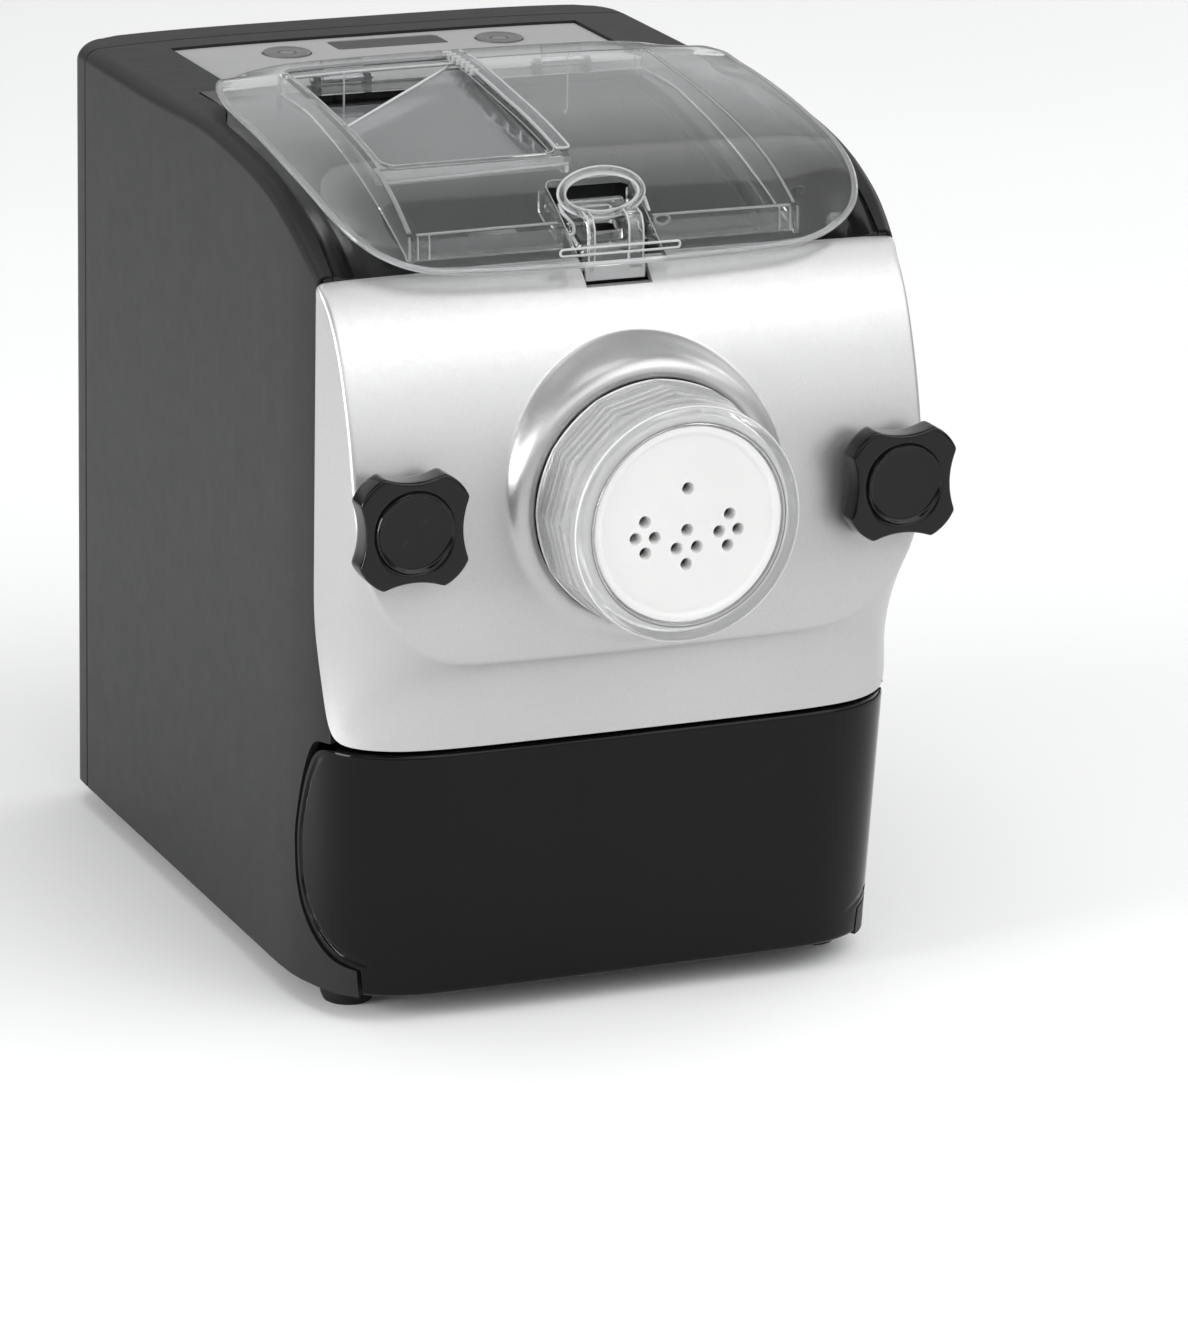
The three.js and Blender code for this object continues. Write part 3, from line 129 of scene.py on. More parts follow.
def spline(points, n, closed=False):
    """n points along a smooth curve through the given ones, evenly spaced."""
    p = np.array(points, float)
    d = np.r_[0, np.cumsum(np.linalg.norm(np.diff(p, axis=0), axis=1))]
    fs = [pchip(list(zip(d, p[:, k]))) for k in range(p.shape[1])]
    t = np.linspace(0, d[-1], 40 * len(points))
    q = np.stack([f(t) for f in fs], 1)
    e = np.r_[0, np.cumsum(np.linalg.norm(np.diff(q, axis=0), axis=1))]
    u = np.linspace(0, e[-1], n)
    return np.stack([np.interp(u, e, q[:, k]) for k in range(p.shape[1])], 1)


# ------------------------------------------------------------------ mesh making
def mesh_object(name, verts, faces, weld=False):
    me = bpy.data.meshes.new(name)
    me.from_pydata([P(*map(float, q)) for q in verts], [], [list(map(int, f)) for f in faces])
    ob = bpy.data.objects.new(name, me)
    scene.collection.objects.link(ob)
    bm = bmesh.new()
    bm.from_mesh(me)
    if weld:
        bmesh.ops.remove_doubles(bm, verts=bm.verts, dist=2e-6)
        bmesh.ops.dissolve_degenerate(bm, edges=bm.edges, dist=1e-7)
    bmesh.ops.recalc_face_normals(bm, faces=bm.faces)
    bm.to_mesh(me)
    bm.free()
    return ob


def prism(name, points, axis, a, b):
    n = len(points)
    put = {"x": lambda p, t: (t, p[0], p[1]), "v": lambda p, t: (p[0], t, p[1]), "z": lambda p, t: (p[0], p[1], t)}[axis]
    verts = [put(p, a) for p in points] + [put(p, b) for p in points]
    faces = [list(range(n)), list(range(n, 2 * n))[::-1]]
    faces += [[i, (i + 1) % n, n + (i + 1) % n, n + i] for i in range(n)]
    return mesh_object(name, verts, faces)


def box(name, x0, x1, v0, v1, z0, z1):
    return prism(name, [(x0, v0), (x1, v0), (x1, v1), (x0, v1)], "z", z0, z1)


def circle(cx, cy, r, n=48):
    return [(cx + r * math.cos(2 * math.pi * i / n), cy + r * math.sin(2 * math.pi * i / n)) for i in range(n)]


def round_rect(x0, x1, y0, y1, r, n=8):
    out = []
    for cx, cy, a0 in ((x1 - r, y1 - r, 0), (x0 + r, y1 - r, 90), (x0 + r, y0 + r, 180), (x1 - r, y0 + r, 270)):
        for i in range(n + 1):
            a = math.radians(a0 + 90 * i / n)
            out.append((cx + r * math.cos(a), cy + r * math.sin(a)))
    return out


def rounded(profile, radii, steps=5):
    """A closed profile whose corners are rounded; radii is one number or one for each corner."""
    n = len(profile)
    out = []
    for i in range(n):
        p = np.array(profile[i], float)
        a, b = np.array(profile[i - 1], float), np.array(profile[(i + 1) % n], float)
        r = radii[i] if isinstance(radii, (list, tuple)) else radii
        la, lb = np.linalg.norm(a - p), np.linalg.norm(b - p)
        if r <= 0 or la < 1e-6 or lb < 1e-6:
            out.append(tuple(p))
            continue
        d = min(r, la * 0.45, lb * 0.45)
        s, e = p + (a - p) / la * d, p + (b - p) / lb * d
        for k in range(steps + 1):
            t = k / steps
            out.append(tuple((1 - t) ** 2 * s + 2 * t * (1 - t) * p + t * t * e))
    return out


def turned(name, profile, cx, cz, n=96, radial=None):
    """Turned about the depth axis through (cx, cz): the closed profile holds (radius, v)."""
    verts, faces = [], []
    on_axis = [r < 1e-6 for r, _ in profile]
    index = []
    for k, (r, v) in enumerate(profile):
        if on_axis[k]:
            index.append([len(verts)] * n)
            verts.append((cx, v, cz))
            continue
        row = []
        for i in range(n):
            a = 2 * math.pi * i / n
            rr = radial(r, a, v) if radial else r
            row.append(len(verts))
            verts.append((cx + rr * math.cos(a), v, cz + rr * math.sin(a)))
        index.append(row)
    m = len(profile)
    for k in range(m):
        a, b = index[k], index[(k + 1) % m]
        if on_axis[k] and on_axis[(k + 1) % m]:
            continue
        for i in range(n):
            j = (i + 1) % n
            f = [a[i], a[j], b[j], b[i]]
            f = [q for s, q in enumerate(f) if q not in f[:s]]
            if len(f) > 2:
                faces.append(f)
    return mesh_object(name, verts, faces)


def turned_up(name, profile, cx, cv, n=64):
    """Turned about the vertical axis through (cx, cv): the closed profile holds (radius, z)."""
    verts, faces, index = [], [], []
    for r, z in profile:
        if r < 1e-6:
            index.append([len(verts)] * n)
            verts.append((cx, cv, z))
        else:
            index.append([len(verts) + i for i in range(n)])
            verts += [(cx + r * math.cos(2 * math.pi * i / n), cv + r * math.sin(2 * math.pi * i / n), z) for i in range(n)]
    m = len(profile)
    for k in range(m):
        a, b = index[k], index[(k + 1) % m]
        for i in range(n):
            j = (i + 1) % n
            f = [a[i], a[j], b[j], b[i]]
            f = [q for s, q in enumerate(f) if q not in f[:s]]
            if len(f) > 2:
                faces.append(f)
    return mesh_object(name, verts, faces)


def loft(name, rings, cap=True):
    """A closed body through rings of equal point count."""
    n = len(rings[0])
    verts = [q for ring in rings for q in ring]
    faces = []
    for k in range(len(rings) - 1):
        for i in range(n):
            j = (i + 1) % n
            faces.append([k * n + i, k * n + j, (k + 1) * n + j, (k + 1) * n + i])
    if cap:
        faces.append(list(range(n)))
        faces.append(list(range((len(rings) - 1) * n, len(rings) * n)))
    return mesh_object(name, verts, faces)


def slab(name, top, under):
    """A closed sheet between two grids of points of the same size."""
    R, C = len(top), len(top[0])
    verts = [q for g in (top, under) for row in g for q in row]
    f = lambda i, j: i * C + j
    b = lambda i, j: R * C + i * C + j
    faces = []
    for i in range(R - 1):
        for j in range(C - 1):
            faces.append([f(i, j), f(i, j + 1), f(i + 1, j + 1), f(i + 1, j)])
            faces.append([b(i, j), b(i + 1, j), b(i + 1, j + 1), b(i, j + 1)])
    for j in range(C - 1):
        faces.append([f(0, j), b(0, j), b(0, j + 1), f(0, j + 1)])
        faces.append([f(R - 1, j), f(R - 1, j + 1), b(R - 1, j + 1), b(R - 1, j)])
    for i in range(R - 1):
        faces.append([f(i, 0), f(i + 1, 0), b(i + 1, 0), b(i, 0)])
        faces.append([f(i, C - 1), b(i, C - 1), b(i + 1, C - 1), f(i + 1, C - 1)])
    return mesh_object(name, verts, faces)


def tube(name, path, r, n=14, squash=1.0, closed=False):
    """A round bar along a path of (x, v, z) points; squash flattens it in the path's own plane."""
    pts = np.array(path, float)
    m = len(pts)
    if closed:
        tan = np.roll(pts, -1, 0) - np.roll(pts, 1, 0)
    else:
        tan = np.gradient(pts, axis=0)
    tan /= np.linalg.norm(tan, axis=1)[:, None]
    ref = np.array([0, 1.0, 0])
    rings = []
    for p, t in zip(pts, tan):
        s = np.cross(t, ref)
        if np.linalg.norm(s) < 1e-3:
            s = np.cross(t, [1.0, 0, 0])
        s /= np.linalg.norm(s)
        w = np.cross(s, t)
        rings.append([tuple(p + r * (math.cos(2 * math.pi * i / n) * s * squash + math.sin(2 * math.pi * i / n) * w)) for i in range(n)])
    if closed:
        verts = [q for ring in rings for q in ring]
        faces = [
            [k * n + i, k * n + (i + 1) % n, ((k + 1) % m) * n + (i + 1) % n, ((k + 1) % m) * n + i]
            for k in range(m) for i in range(n)
        ]
        return mesh_object(name, verts, faces)
    return loft(name, rings)


def remove(ob):
    me = ob.data
    bpy.data.objects.remove(ob, do_unlink=True)
    if me.users == 0:
        bpy.data.meshes.remove(me)


def apply_all(ob):
    dg = bpy.context.evaluated_depsgraph_get()
    me = bpy.data.meshes.new_from_object(ob.evaluated_get(dg))
    old = ob.data
    ob.modifiers.clear()
    ob.data = me
    me.name = ob.name
    if old.users == 0:
        bpy.data.meshes.remove(old)
    return ob


def boolean(ob, tools, op):
    for tool in tools:
        m = ob.modifiers.new("b", "BOOLEAN")
        m.operation = op
        m.solver = "MANIFOLD"
        m.object = tool
        apply_all(ob)
        remove(tool)
    return ob


def cut(ob, *tools):
    return boolean(ob, tools, "DIFFERENCE")


def join(ob, *tools):
    return boolean(ob, tools, "UNION")


def thicken(ob, t, even=False):
    m = ob.modifiers.new("wall", "SOLIDIFY")
    m.thickness = t * MM
    m.offset = -1
    m.use_even_offset = even
    m.use_quality_normals = True
    return apply_all(ob)


def tidy(ob):
    """Joins what booleans leave split, so that bevels and normals run clean."""
    bm = bmesh.new()
    bm.from_mesh(ob.data)
    bmesh.ops.remove_doubles(bm, verts=bm.verts, dist=1e-6)
    bmesh.ops.dissolve_degenerate(bm, edges=bm.edges, dist=1e-6)
    bm.to_mesh(ob.data)
    bm.free()
    return ob


def soften(ob, width=0.4, segments=2, angle=38.0, clamp=True):
    """Rounded edges and clean normals."""
    for p in ob.data.polygons:
        p.use_smooth = True
    if width:
        m = ob.modifiers.new("edge", "BEVEL")
        m.width = width * MM
        m.segments = segments
        m.limit_method = "ANGLE"
        m.angle_limit = math.radians(angle)
        m.use_clamp_overlap = clamp
        m.miter_outer = "MITER_SHARP"
    w = ob.modifiers.new("normals", "WEIGHTED_NORMAL")
    w.keep_sharp = True
    w.weight = 50
    return ob


def crisp(ob, angle=35.0):
    """Smooth shading that breaks at real edges."""
    for p in ob.data.polygons:
        p.use_smooth = True
    ob.data.set_sharp_from_angle(angle=math.radians(angle))
    return ob


def finish_piece(ob, body, mat, nodes=(), extra=()):
    ob.data.materials.clear()
    ob.data.materials.append(mat)
    for m in extra:
        ob.data.materials.append(m)
    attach(ob, body)
    if nodes:
        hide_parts(*nodes)
    return ob


# ------------------------------------------------------------------ materials
def srgb(v):
    c = v / 255.0
    return c / 12.92 if c <= 0.04045 else ((c + 0.055) / 1.055) ** 2.4


def grey(v, warm=0.0):
    g = srgb(v)
    return (g * (1 + warm), g, g * (1 - warm))


def base_material(name):
    m = bpy.data.materials.new(name)
    m.use_nodes = True
    nt = m.node_tree
    nt.nodes.clear()
    out = nt.nodes.new("ShaderNodeOutputMaterial")
    b = nt.nodes.new("ShaderNodeBsdfPrincipled")
    nt.links.new(b.outputs[0], out.inputs[0])
    return m, nt, b


def noise(nt, coord, scale, detail=3.0, rough=0.55, stretch=None):
    src = coord
    if stretch:
        mp = nt.nodes.new("ShaderNodeMapping")
        mp.inputs["Scale"].default_value = stretch
        nt.links.new(coord, mp.inputs["Vector"])
        src = mp.outputs["Vector"]
    n = nt.nodes.new("ShaderNodeTexNoise")
    n.inputs["Scale"].default_value = scale
    n.inputs["Detail"].default_value = detail
    n.inputs["Roughness"].default_value = rough
    nt.links.new(src, n.inputs["Vector"])
    return n.outputs[0]


def remap(nt, value, a, b, lo=0.3, hi=0.7):
    m = nt.nodes.new("ShaderNodeMapRange")
    m.inputs["From Min"].default_value = lo
    m.inputs["From Max"].default_value = hi
    m.inputs["To Min"].default_value = a
    m.inputs["To Max"].default_value = b
    nt.links.new(value, m.inputs["Value"])
    return m.outputs[0]


def blend_colours(nt, value, a, b, lo=0.3, hi=0.7):
    r = nt.nodes.new("ShaderNodeValToRGB")
    r.color_ramp.elements[0].position = lo
    r.color_ramp.elements[1].position = hi
    r.color_ramp.elements[0].color = (*a, 1)
    r.color_ramp.elements[1].color = (*b, 1)
    nt.links.new(value, r.inputs["Fac"])
    return r.outputs["Color"]


def bump(nt, b, height, strength, distance, prior=None):
    n = nt.nodes.new("ShaderNodeBump")
    n.inputs["Strength"].default_value = strength
    n.inputs["Distance"].default_value = distance
    nt.links.new(height, n.inputs["Height"])
    if prior is not None:
        nt.links.new(prior, n.inputs["Normal"])
    nt.links.new(n.outputs[0], b.inputs["Normal"])
    return n.outputs[0]


def edge_highlight(nt, colour, amount, tint):
    """Painted highlight: slightly paler where the surface turns over an edge."""
    g = nt.nodes.new("ShaderNodeNewGeometry")
    f = remap(nt, g.outputs["Pointiness"], 0.0, amount, 0.52, 0.62)
    mix = nt.nodes.new("ShaderNodeMix")
    mix.data_type = "RGBA"
    nt.links.new(f, mix.inputs["Factor"])
    nt.links.new(colour, mix.inputs[6])
    mix.inputs[7].default_value = (*tint, 1)
    return mix.outputs[2]


def plastic(name, colour, rough, spread=0.05, grain=0.06, grain_scale=1500.0, mottle=0.06, specular=0.5, edge_glint=None, coat=0.0, ior=1.5, sss=0.0):
    m, nt, b = base_material(name)
    tc = nt.nodes.new("ShaderNodeTexCoord").outputs["Object"]
    broad = noise(nt, tc, 22.0, 4.0)
    fine = noise(nt, tc, grain_scale, 2.0, 0.6)
    mid = noise(nt, tc, 130.0, 3.0)
    lo = tuple(c * (1 - mottle) for c in colour)
    hi = tuple(min(1, c * (1 + mottle)) for c in colour)
    col = blend_colours(nt, broad, lo, hi)
    # painted highlight: the edges turn paler
    if edge_glint:
        col = edge_highlight(nt, col, edge_glint[0], edge_glint[1])
    nt.links.new(col, b.inputs["Base Color"])
    nt.links.new(remap(nt, mid, rough - spread, rough + spread), b.inputs["Roughness"])
    b.inputs["Specular IOR Level"].default_value = specular
    b.inputs["IOR"].default_value = ior
    if coat:
        b.inputs["Coat Weight"].default_value = coat
        b.inputs["Coat Roughness"].default_value = 0.06
    if sss:
        b.inputs["Subsurface Weight"].default_value = sss
        b.inputs["Subsurface Radius"].default_value = (1.0, 0.9, 0.8)
        b.inputs["Subsurface Scale"].default_value = 0.004
    if grain:
        n1 = bump(nt, b, fine, grain, 0.00025)
        bump(nt, b, mid, grain * 0.5, 0.0004, n1)
    return m


def silver_paint():
    m, nt, b = base_material("silver_paint")
    tc = nt.nodes.new("ShaderNodeTexCoord").outputs["Object"]
    flake = nt.nodes.new("ShaderNodeTexVoronoi")
    flake.inputs["Scale"].default_value = 5200.0
    nt.links.new(tc, flake.inputs["Vector"])
    broad = noise(nt, tc, 14.0, 3.0)
    orange_peel = noise(nt, tc, 420.0, 2.0, 0.5)
    c1 = blend_colours(nt, flake.outputs["Distance"], (0.425, 0.425, 0.425), (0.54, 0.539, 0.538), 0.1, 0.75)
    c2 = blend_colours(nt, broad, (0.965, 0.965, 0.965), (1.0, 1.0, 1.0))
    mul = nt.nodes.new("ShaderNodeMix")
    mul.data_type = "RGBA"
    mul.blend_type = "MULTIPLY"
    mul.inputs["Factor"].default_value = 1.0
    nt.links.new(c1, mul.inputs[6])
    nt.links.new(c2, mul.inputs[7])
    nt.links.new(mul.outputs[2], b.inputs["Base Color"])
    b.inputs["Metallic"].default_value = 0.72
    nt.links.new(remap(nt, orange_peel, 0.33, 0.40), b.inputs["Roughness"])
    b.inputs["Coat Weight"].default_value = 0.25
    b.inputs["Coat Roughness"].default_value = 0.12
    n1 = bump(nt, b, flake.outputs["Distance"], 0.035, 0.0001)
    bump(nt, b, orange_peel, 0.05, 0.0002, n1)
    return m


def clear_plastic(name, tint, rough=0.02, alpha=1.0, wave=0.03, ior=1.49, clearness=1.0, shine=0.5):
    m, nt, b = base_material(name)
    tc = nt.nodes.new("ShaderNodeTexCoord").outputs["Object"]
    b.inputs["Base Color"].default_value = (*tint, 1)
    b.inputs["Transmission Weight"].default_value = clearness
    b.inputs["IOR"].default_value = ior
    b.inputs["Alpha"].default_value = alpha
    b.inputs["Specular IOR Level"].default_value = shine
    haze = noise(nt, tc, 60.0, 4.0)
    nt.links.new(remap(nt, haze, rough * 0.5, rough * 1.8), b.inputs["Roughness"])
    flow = noise(nt, tc, 38.0, 2.0, 0.4)
    bump(nt, b, flow, wave, 0.0012)
    return m


def metal(name, colour, rough, brush=None, grain=0.08):
    m, nt, b = base_material(name)
    tc = nt.nodes.new("ShaderNodeTexCoord").outputs["Object"]
    lines = noise(nt, tc, 500.0, 3.0, 0.6, brush or (1, 1, 1))
    blot = noise(nt, tc, 40.0, 4.0)
    nt.links.new(blend_colours(nt, blot, tuple(c * 0.86 for c in colour), tuple(min(1, c * 1.08) for c in colour)), b.inputs["Base Color"])
    b.inputs["Metallic"].default_value = 1.0
    nt.links.new(remap(nt, lines, rough - 0.08, rough + 0.1), b.inputs["Roughness"])
    bump(nt, b, lines, grain, 0.0002)
    return m


def circuit_board():
    m, nt, b = base_material("board_green")
    tc = nt.nodes.new("ShaderNodeTexCoord").outputs["Object"]
    br = nt.nodes.new("ShaderNodeTexVoronoi")
    br.feature = "DISTANCE_TO_EDGE"
    br.inputs["Scale"].default_value = 160.0
    nt.links.new(tc, br.inputs["Vector"])
    col = blend_colours(nt, br.outputs["Distance"], (0.05, 0.20, 0.09), (0.012, 0.075, 0.03), 0.02, 0.06)
    nt.links.new(col, b.inputs["Base Color"])
    b.inputs["Roughness"].default_value = 0.35
    bump(nt, b, br.outputs["Distance"], 0.2, 0.0002)
    return m


M = {
    "casing": plastic("casing_grey", (0.0168, 0.0170, 0.0172), 0.45, 0.02, 0.035, 1700.0, 0.008, 0.19),
    # darker, smoother copy of the casing: painted shade on the rounded upper edges along the slope
    "shoulder": plastic("casing_edge_painted_shade", (0.0085, 0.0086, 0.0088), 0.30, 0.03, 0.02, 1500.0, 0.02, 0.22),
    "deck": plastic("gloss_black", (0.0050, 0.0050, 0.0055), 0.16, 0.03, 0.012, 900.0, 0.15, 0.33),
    # the gloss black front, the knobs and the buttons get paler edges as painted highlights
    "gloss": plastic("gloss_black_front", (0.0034, 0.0032, 0.0034), 0.08, 0.02, 0.006, 700.0, 0.15, 0.17, edge_glint=(0.25, grey(50))),
    "knob": plastic("gloss_black_knob", (0.0024, 0.0024, 0.0026), 0.08, 0.02, 0.012, 800.0, 0.15, 0.30, edge_glint=(0.3, grey(60))),
    "silver": silver_paint(),
    "plate": plastic("plate_grey", grey(160), 0.42, 0.04, 0.03, 2100.0, 0.02, 0.3),
    "button": plastic("button_grey", grey(100), 0.40, 0.05, 0.03, 1500.0, 0.04, 0.4, edge_glint=(0.4, grey(150))),
    "window": plastic("window_dark", grey(60), 0.34, 0.03, 0.0, 900.0, 0.03, 0.16),
    "clear": clear_plastic("clear_plastic", (0.955, 0.965, 0.965), 0.02, clearness=0.96, shine=0.40),
    "clear_bowl": clear_plastic("clear_plastic_bowl", (0.80, 0.82, 0.83), 0.06, wave=0.08, clearness=0.96),
    "clear_ring": clear_plastic("clear_plastic_ring", (0.98, 0.983, 0.985), 0.02, wave=0.16, clearness=0.72),
    "clear_haze": clear_plastic("clear_plastic_haze", (0.72, 0.735, 0.74), 0.08, wave=0.06, clearness=0.86, shine=0.30),
    "clear_well": clear_plastic("clear_plastic_well", (0.50, 0.51, 0.52), 0.08, wave=0.06, clearness=0.72, shine=0.35),
    # pale and dark clear plastics for lines that paint highlights and shade onto the lid, latch and nozzle ring; the
    # first also colours the funnel teeth and the latch tab
    "clear_edge": clear_plastic("clear_plastic_edge", (0.74, 0.745, 0.75), 0.10, wave=0.02, clearness=0.46),
    "clear_shade": clear_plastic("clear_plastic_shade", (0.16, 0.165, 0.17), 0.08, wave=0.02, clearness=0.45),
    "clear_highlight": clear_plastic("clear_plastic_highlight", (0.93, 0.935, 0.94), 0.06, wave=0.02, clearness=0.35),
    "clear_rim": clear_plastic("clear_plastic_rim", (0.78, 0.785, 0.79), 0.08, wave=0.02, clearness=0.62),
    "clear_line": clear_plastic("clear_plastic_line", (0.66, 0.665, 0.67), 0.08, wave=0.02, clearness=0.6),
    "white": plastic("white_plastic", grey(226, 0.01), 0.38, 0.05, 0.03, 1200.0, 0.03, 0.5, sss=0.15),
    "die": plastic("die_white", grey(222, 0.006), 0.34, 0.04, 0.02, 900.0, 0.02, 0.45, sss=0.5),
    "natural": plastic("gear_plastic", (0.72, 0.69, 0.58), 0.42, 0.05, 0.03, 1300.0, 0.05, 0.45, sss=0.1),
    "dark": plastic("inner_dark", (0.012, 0.012, 0.0135), 0.52, 0.08, 0.09, 1300.0, 0.12, 0.3),
    "rubber": plastic("feet_rubber", (0.0095, 0.0095, 0.0095), 0.74, 0.08, 0.16, 1500.0, 0.16, 0.25),
    "steel": metal("steel", (0.56, 0.56, 0.57), 0.30, (1, 8, 8)),
    "bronze": metal("bronze", (0.60, 0.41, 0.17), 0.34, (1, 8, 8)),
    "board": circuit_board(),
}

# ------------------------------------------------------------------ casing form
topZ = faired([
    (0, 275), (60, 275), (100, 275), (118, 274.8), (128, 273.7), (140, 271.7), (150, 269.7), (160, 267.5),
    (170, 265.0), (180, 262.0), (190, 258.6), (200, 254.8), (210, 250.6), (218, 247.0), (226, 243.2), (240, 236.2),
], 5.0)

OUT_LOW = [
    (105, 196), (104.4, 208), (103.2, 215), (101.3, 222), (99, 228.4), (95.8, 234.2), (91, 239.2), (84, 243.4),
    (76, 246.0), (66, 247.2), (40, 247.5), (0, 247.5),
]
OUT_HIGH = [
    (105, 196), (104.8, 208), (104.3, 216), (103.5, 224), (102.2, 231), (99.8, 236.8), (95.5, 242.2), (89, 247),
    (81, 250.2), (70, 252.1), (40, 252.9), (0, 253),
]
LOW_F = spline(OUT_LOW, 700)
HIGH_F = spline(OUT_HIGH, 700)


def fair_outline(q):
    k = np.exp(-0.5 * (np.arange(-40, 41) / 14.0) ** 2)
    k /= k.sum()
    out = []
    for c in range(2):
        a = q[:, c]
        a = np.r_[2 * a[0] - a[40:0:-1], a, 2 * a[-1] - a[-2:-42:-1]]
        out.append(np.convolve(a, k, mode="valid"))
    return np.stack(out, 1)


LOW_F, HIGH_F = fair_outline(LOW_F), fair_outline(HIGH_F)


def outline(z):
    t = min(1.0, max(0.0, z / 88.0))
    return LOW_F * (1 - t) + HIGH_F * t


def half_width(v, z):
    o = outline(z)
    v = np.asarray(v, float)
    return np.where(v <= o[0, 1], 105.0, np.interp(v, o[:, 1], o[:, 0]))


SEAM = [
    (0, 238.6), (9.4, 238.6), (9.7, 237.6), (10.4, 234.6), (12, 230.5), (15, 225.8), (19, 221.2), (24, 217.2), (28, 214.8),
    (38, 211.8), (50, 211.2), (58, 212.6), (66, 214.8), (74, 217.6), (80, 220.4), (85, 223.6), (87.4, 226.2), (88.4, 229.5),
    (88.9, 234.6), (91, 234.6), (105, 231.4), (118, 228.2), (130, 225.8), (140, 225.2), (300, 225.2),
]
seam = pchip(SEAM)


def crown(x, v):
    """The top is slightly crowned from side to side at the back."""
    q = np.minimum(np.abs(x), 99.0) / 95.0
    return float((0.5 - 1.4 * q ** 4) * (1 - smoothstep(60, 122, v)))


shoulder = pchip([(0, 0), (122, 0), (140, 1.0), (152, 2.1), (166, 3.5), (180, 4.9), (192, 5.7), (202, 5.5), (211, 5.0), (219, 3.5), (226, 1.8), (240, 0)])


def side_top(v):
    """Height of the rounded upper edge of the sides."""
    return float(topZ(v)) + float(shoulder(v))


def deck_edge(v):
    """Half width of the black top piece: it narrows behind the sides of the lid."""
    return float(91.0 + 6.6 * smoothstep(104, 128, v))


# ------------------------------------------------------------------ housing
def build_housing():
    fixed = [0, 11.2, 25, 40, 55, 79.6, 92, 104, 112, 118, 123, 128, 133, 138, 144, 150, 157, 164, 171, 178, 185, 192, 198]
    extra = 22
    lower = [0, 0.6, 3, 6, 9.2, 9.45, 9.7, 10.1, 10.6, 11.3, 12, 13.4, 15, 17, 19, 21.5, 24, 26, 28, 31, 34.5, 38, 42, 46, 50, 54,
             58, 62, 66, 70, 74, 77, 80, 82.5, 85, 86.4, 87.4, 88.0, 88.4, 88.7, 88.9, 91, 94, 98, 102, 105, 109, 113, 118, 123, 127,
             130, 134, 138, 142]
    def edge(v):
        """Radius of the rounded upper edge: it tightens towards the front."""
        return 6.0 - 2.8 * float(smoothstep(60, 150, v))

    rows = []
    for s in (1, -1):
        grid = []
        for z in lower:
            ve = float(seam(z))
            vs = fixed + [198 + (ve - 198) * (k + 1) / extra for k in range(extra)]
            grid.append([(s * float(half_width(v, z)), v, z) for v in vs])
        vs = fixed + [198 + (225.2 - 198) * (k + 1) / extra for k in range(extra)]
        for q in np.linspace(0, 1, 9)[1:]:
            grid.append([(s * float(half_width(v, 200)), v, 142 + q * (side_top(v) - edge(v) - 142)) for v in vs])
        for k in range(1, 9):
            a = math.pi / 2 * k / 8
            grid.append([
                (s * (float(half_width(v, 200)) - edge(v) + edge(v) * math.cos(a)), v, side_top(v) - edge(v) + (edge(v) + crown(99, v)) * math.sin(a))
                for v in vs
            ])
        grid.append([(s * 98.0, v, side_top(v) + crown(98, v)) for v in vs])
        rows.append(grid)
        inner = [v for v in vs if v >= 79.6]
        ledge = []
        for q in (0, 0.5, 1):
            xs = [98.0 - q * (98.0 - min(97.9, deck_edge(v) + 0.5)) for v in inner]
            ledge.append([(s * x, v, side_top(v) * (1 - q) + q * float(topZ(v)) + crown(x, v)) for x, v in zip(xs, inner)])
        rows.append(ledge)
    verts, faces = [], []
    for grid in rows:
        at = len(verts)
        C = len(grid[0])
        for row in grid:
            verts += row
        for i in range(len(grid) - 1):
            for j in range(C - 1):
                faces.append([at + i * C + j, at + i * C + j + 1, at + (i + 1) * C + j + 1, at + (i + 1) * C + j])
    # flat top behind the hinge, around the control plate's seat
    vs = [0, 11.2, 25, 40, 55, 79.6]
    xs = [-98, -94.75, -91.5, -88, -82.7, -77.4, -60, -40, -20, 0, 20, 40, 60, 77.4, 82.7, 88, 91.5, 94.75, 98]
    at = len(verts)
    verts += [(x, v, 275.0) for v in vs for x in xs]
    for i in range(len(vs) - 1):
        for j in range(len(xs) - 1):
            if i >= 1 and -77.5 < xs[j] < 77.3:
                continue
            faces.append([at + i * len(xs) + j, at + i * len(xs) + j + 1, at + (i + 1) * len(xs) + j + 1, at + (i + 1) * len(xs) + j])
    # make the flat patch's height agree with the faired top line
    for k in range(at, len(verts)):
        x, v, z = verts[k]
        verts[k] = (x, v, float(topZ(v)) + crown(x, v))
    ob = mesh_object("housing", verts, faces, weld=True)
    fix_outward(ob, (0, 100, 140))
    thicken(ob, 3.0)
    posts = []
    for sx in (-1, 1):
        for z in (14, 256):
            posts.append(cut(prism("t", circle(sx * 88, z, 4.6, 32), "v", 0.4, 18), prism("t", circle(sx * 88, z, 1.7, 20), "v", -1, 16)))
            posts.append(box("t", 92.2 if sx > 0 else -103, 103 if sx > 0 else -92.2, 0.4, 18, z - 1.5, z + 1.5))
    join(ob, *posts)
    tidy(ob)
    soften(ob, 0.5, 3, 40)
    # the rounded upper edges along the slope get a smoother copy of the casing, darker than the sides: the darkness is
    # painted shade
    for f in ob.data.polygons:
        c = f.center
        v, z = 133.3 - c.y / MM, c.z / MM - 9
        f.material_index = 1 if v > 84 and z > side_top(v) - edge(v) + 0.4 else 0
    finish_piece(ob, "casing", M["casing"], ["housing_shell"], extra=[M["shoulder"]])


def fix_outward(ob, centre):
    """Turns an open sheet's faces away from a layout point."""
    bm = bmesh.new()
    bm.from_mesh(ob.data)
    bm.normal_update()
    c = Vector(P(*centre))
    s = sum((f.calc_center_median() - c).dot(f.normal) * f.calc_area() for f in bm.faces)
    if s < 0:
        bmesh.ops.reverse_faces(bm, faces=bm.faces)
    bm.to_mesh(ob.data)
    bm.free()


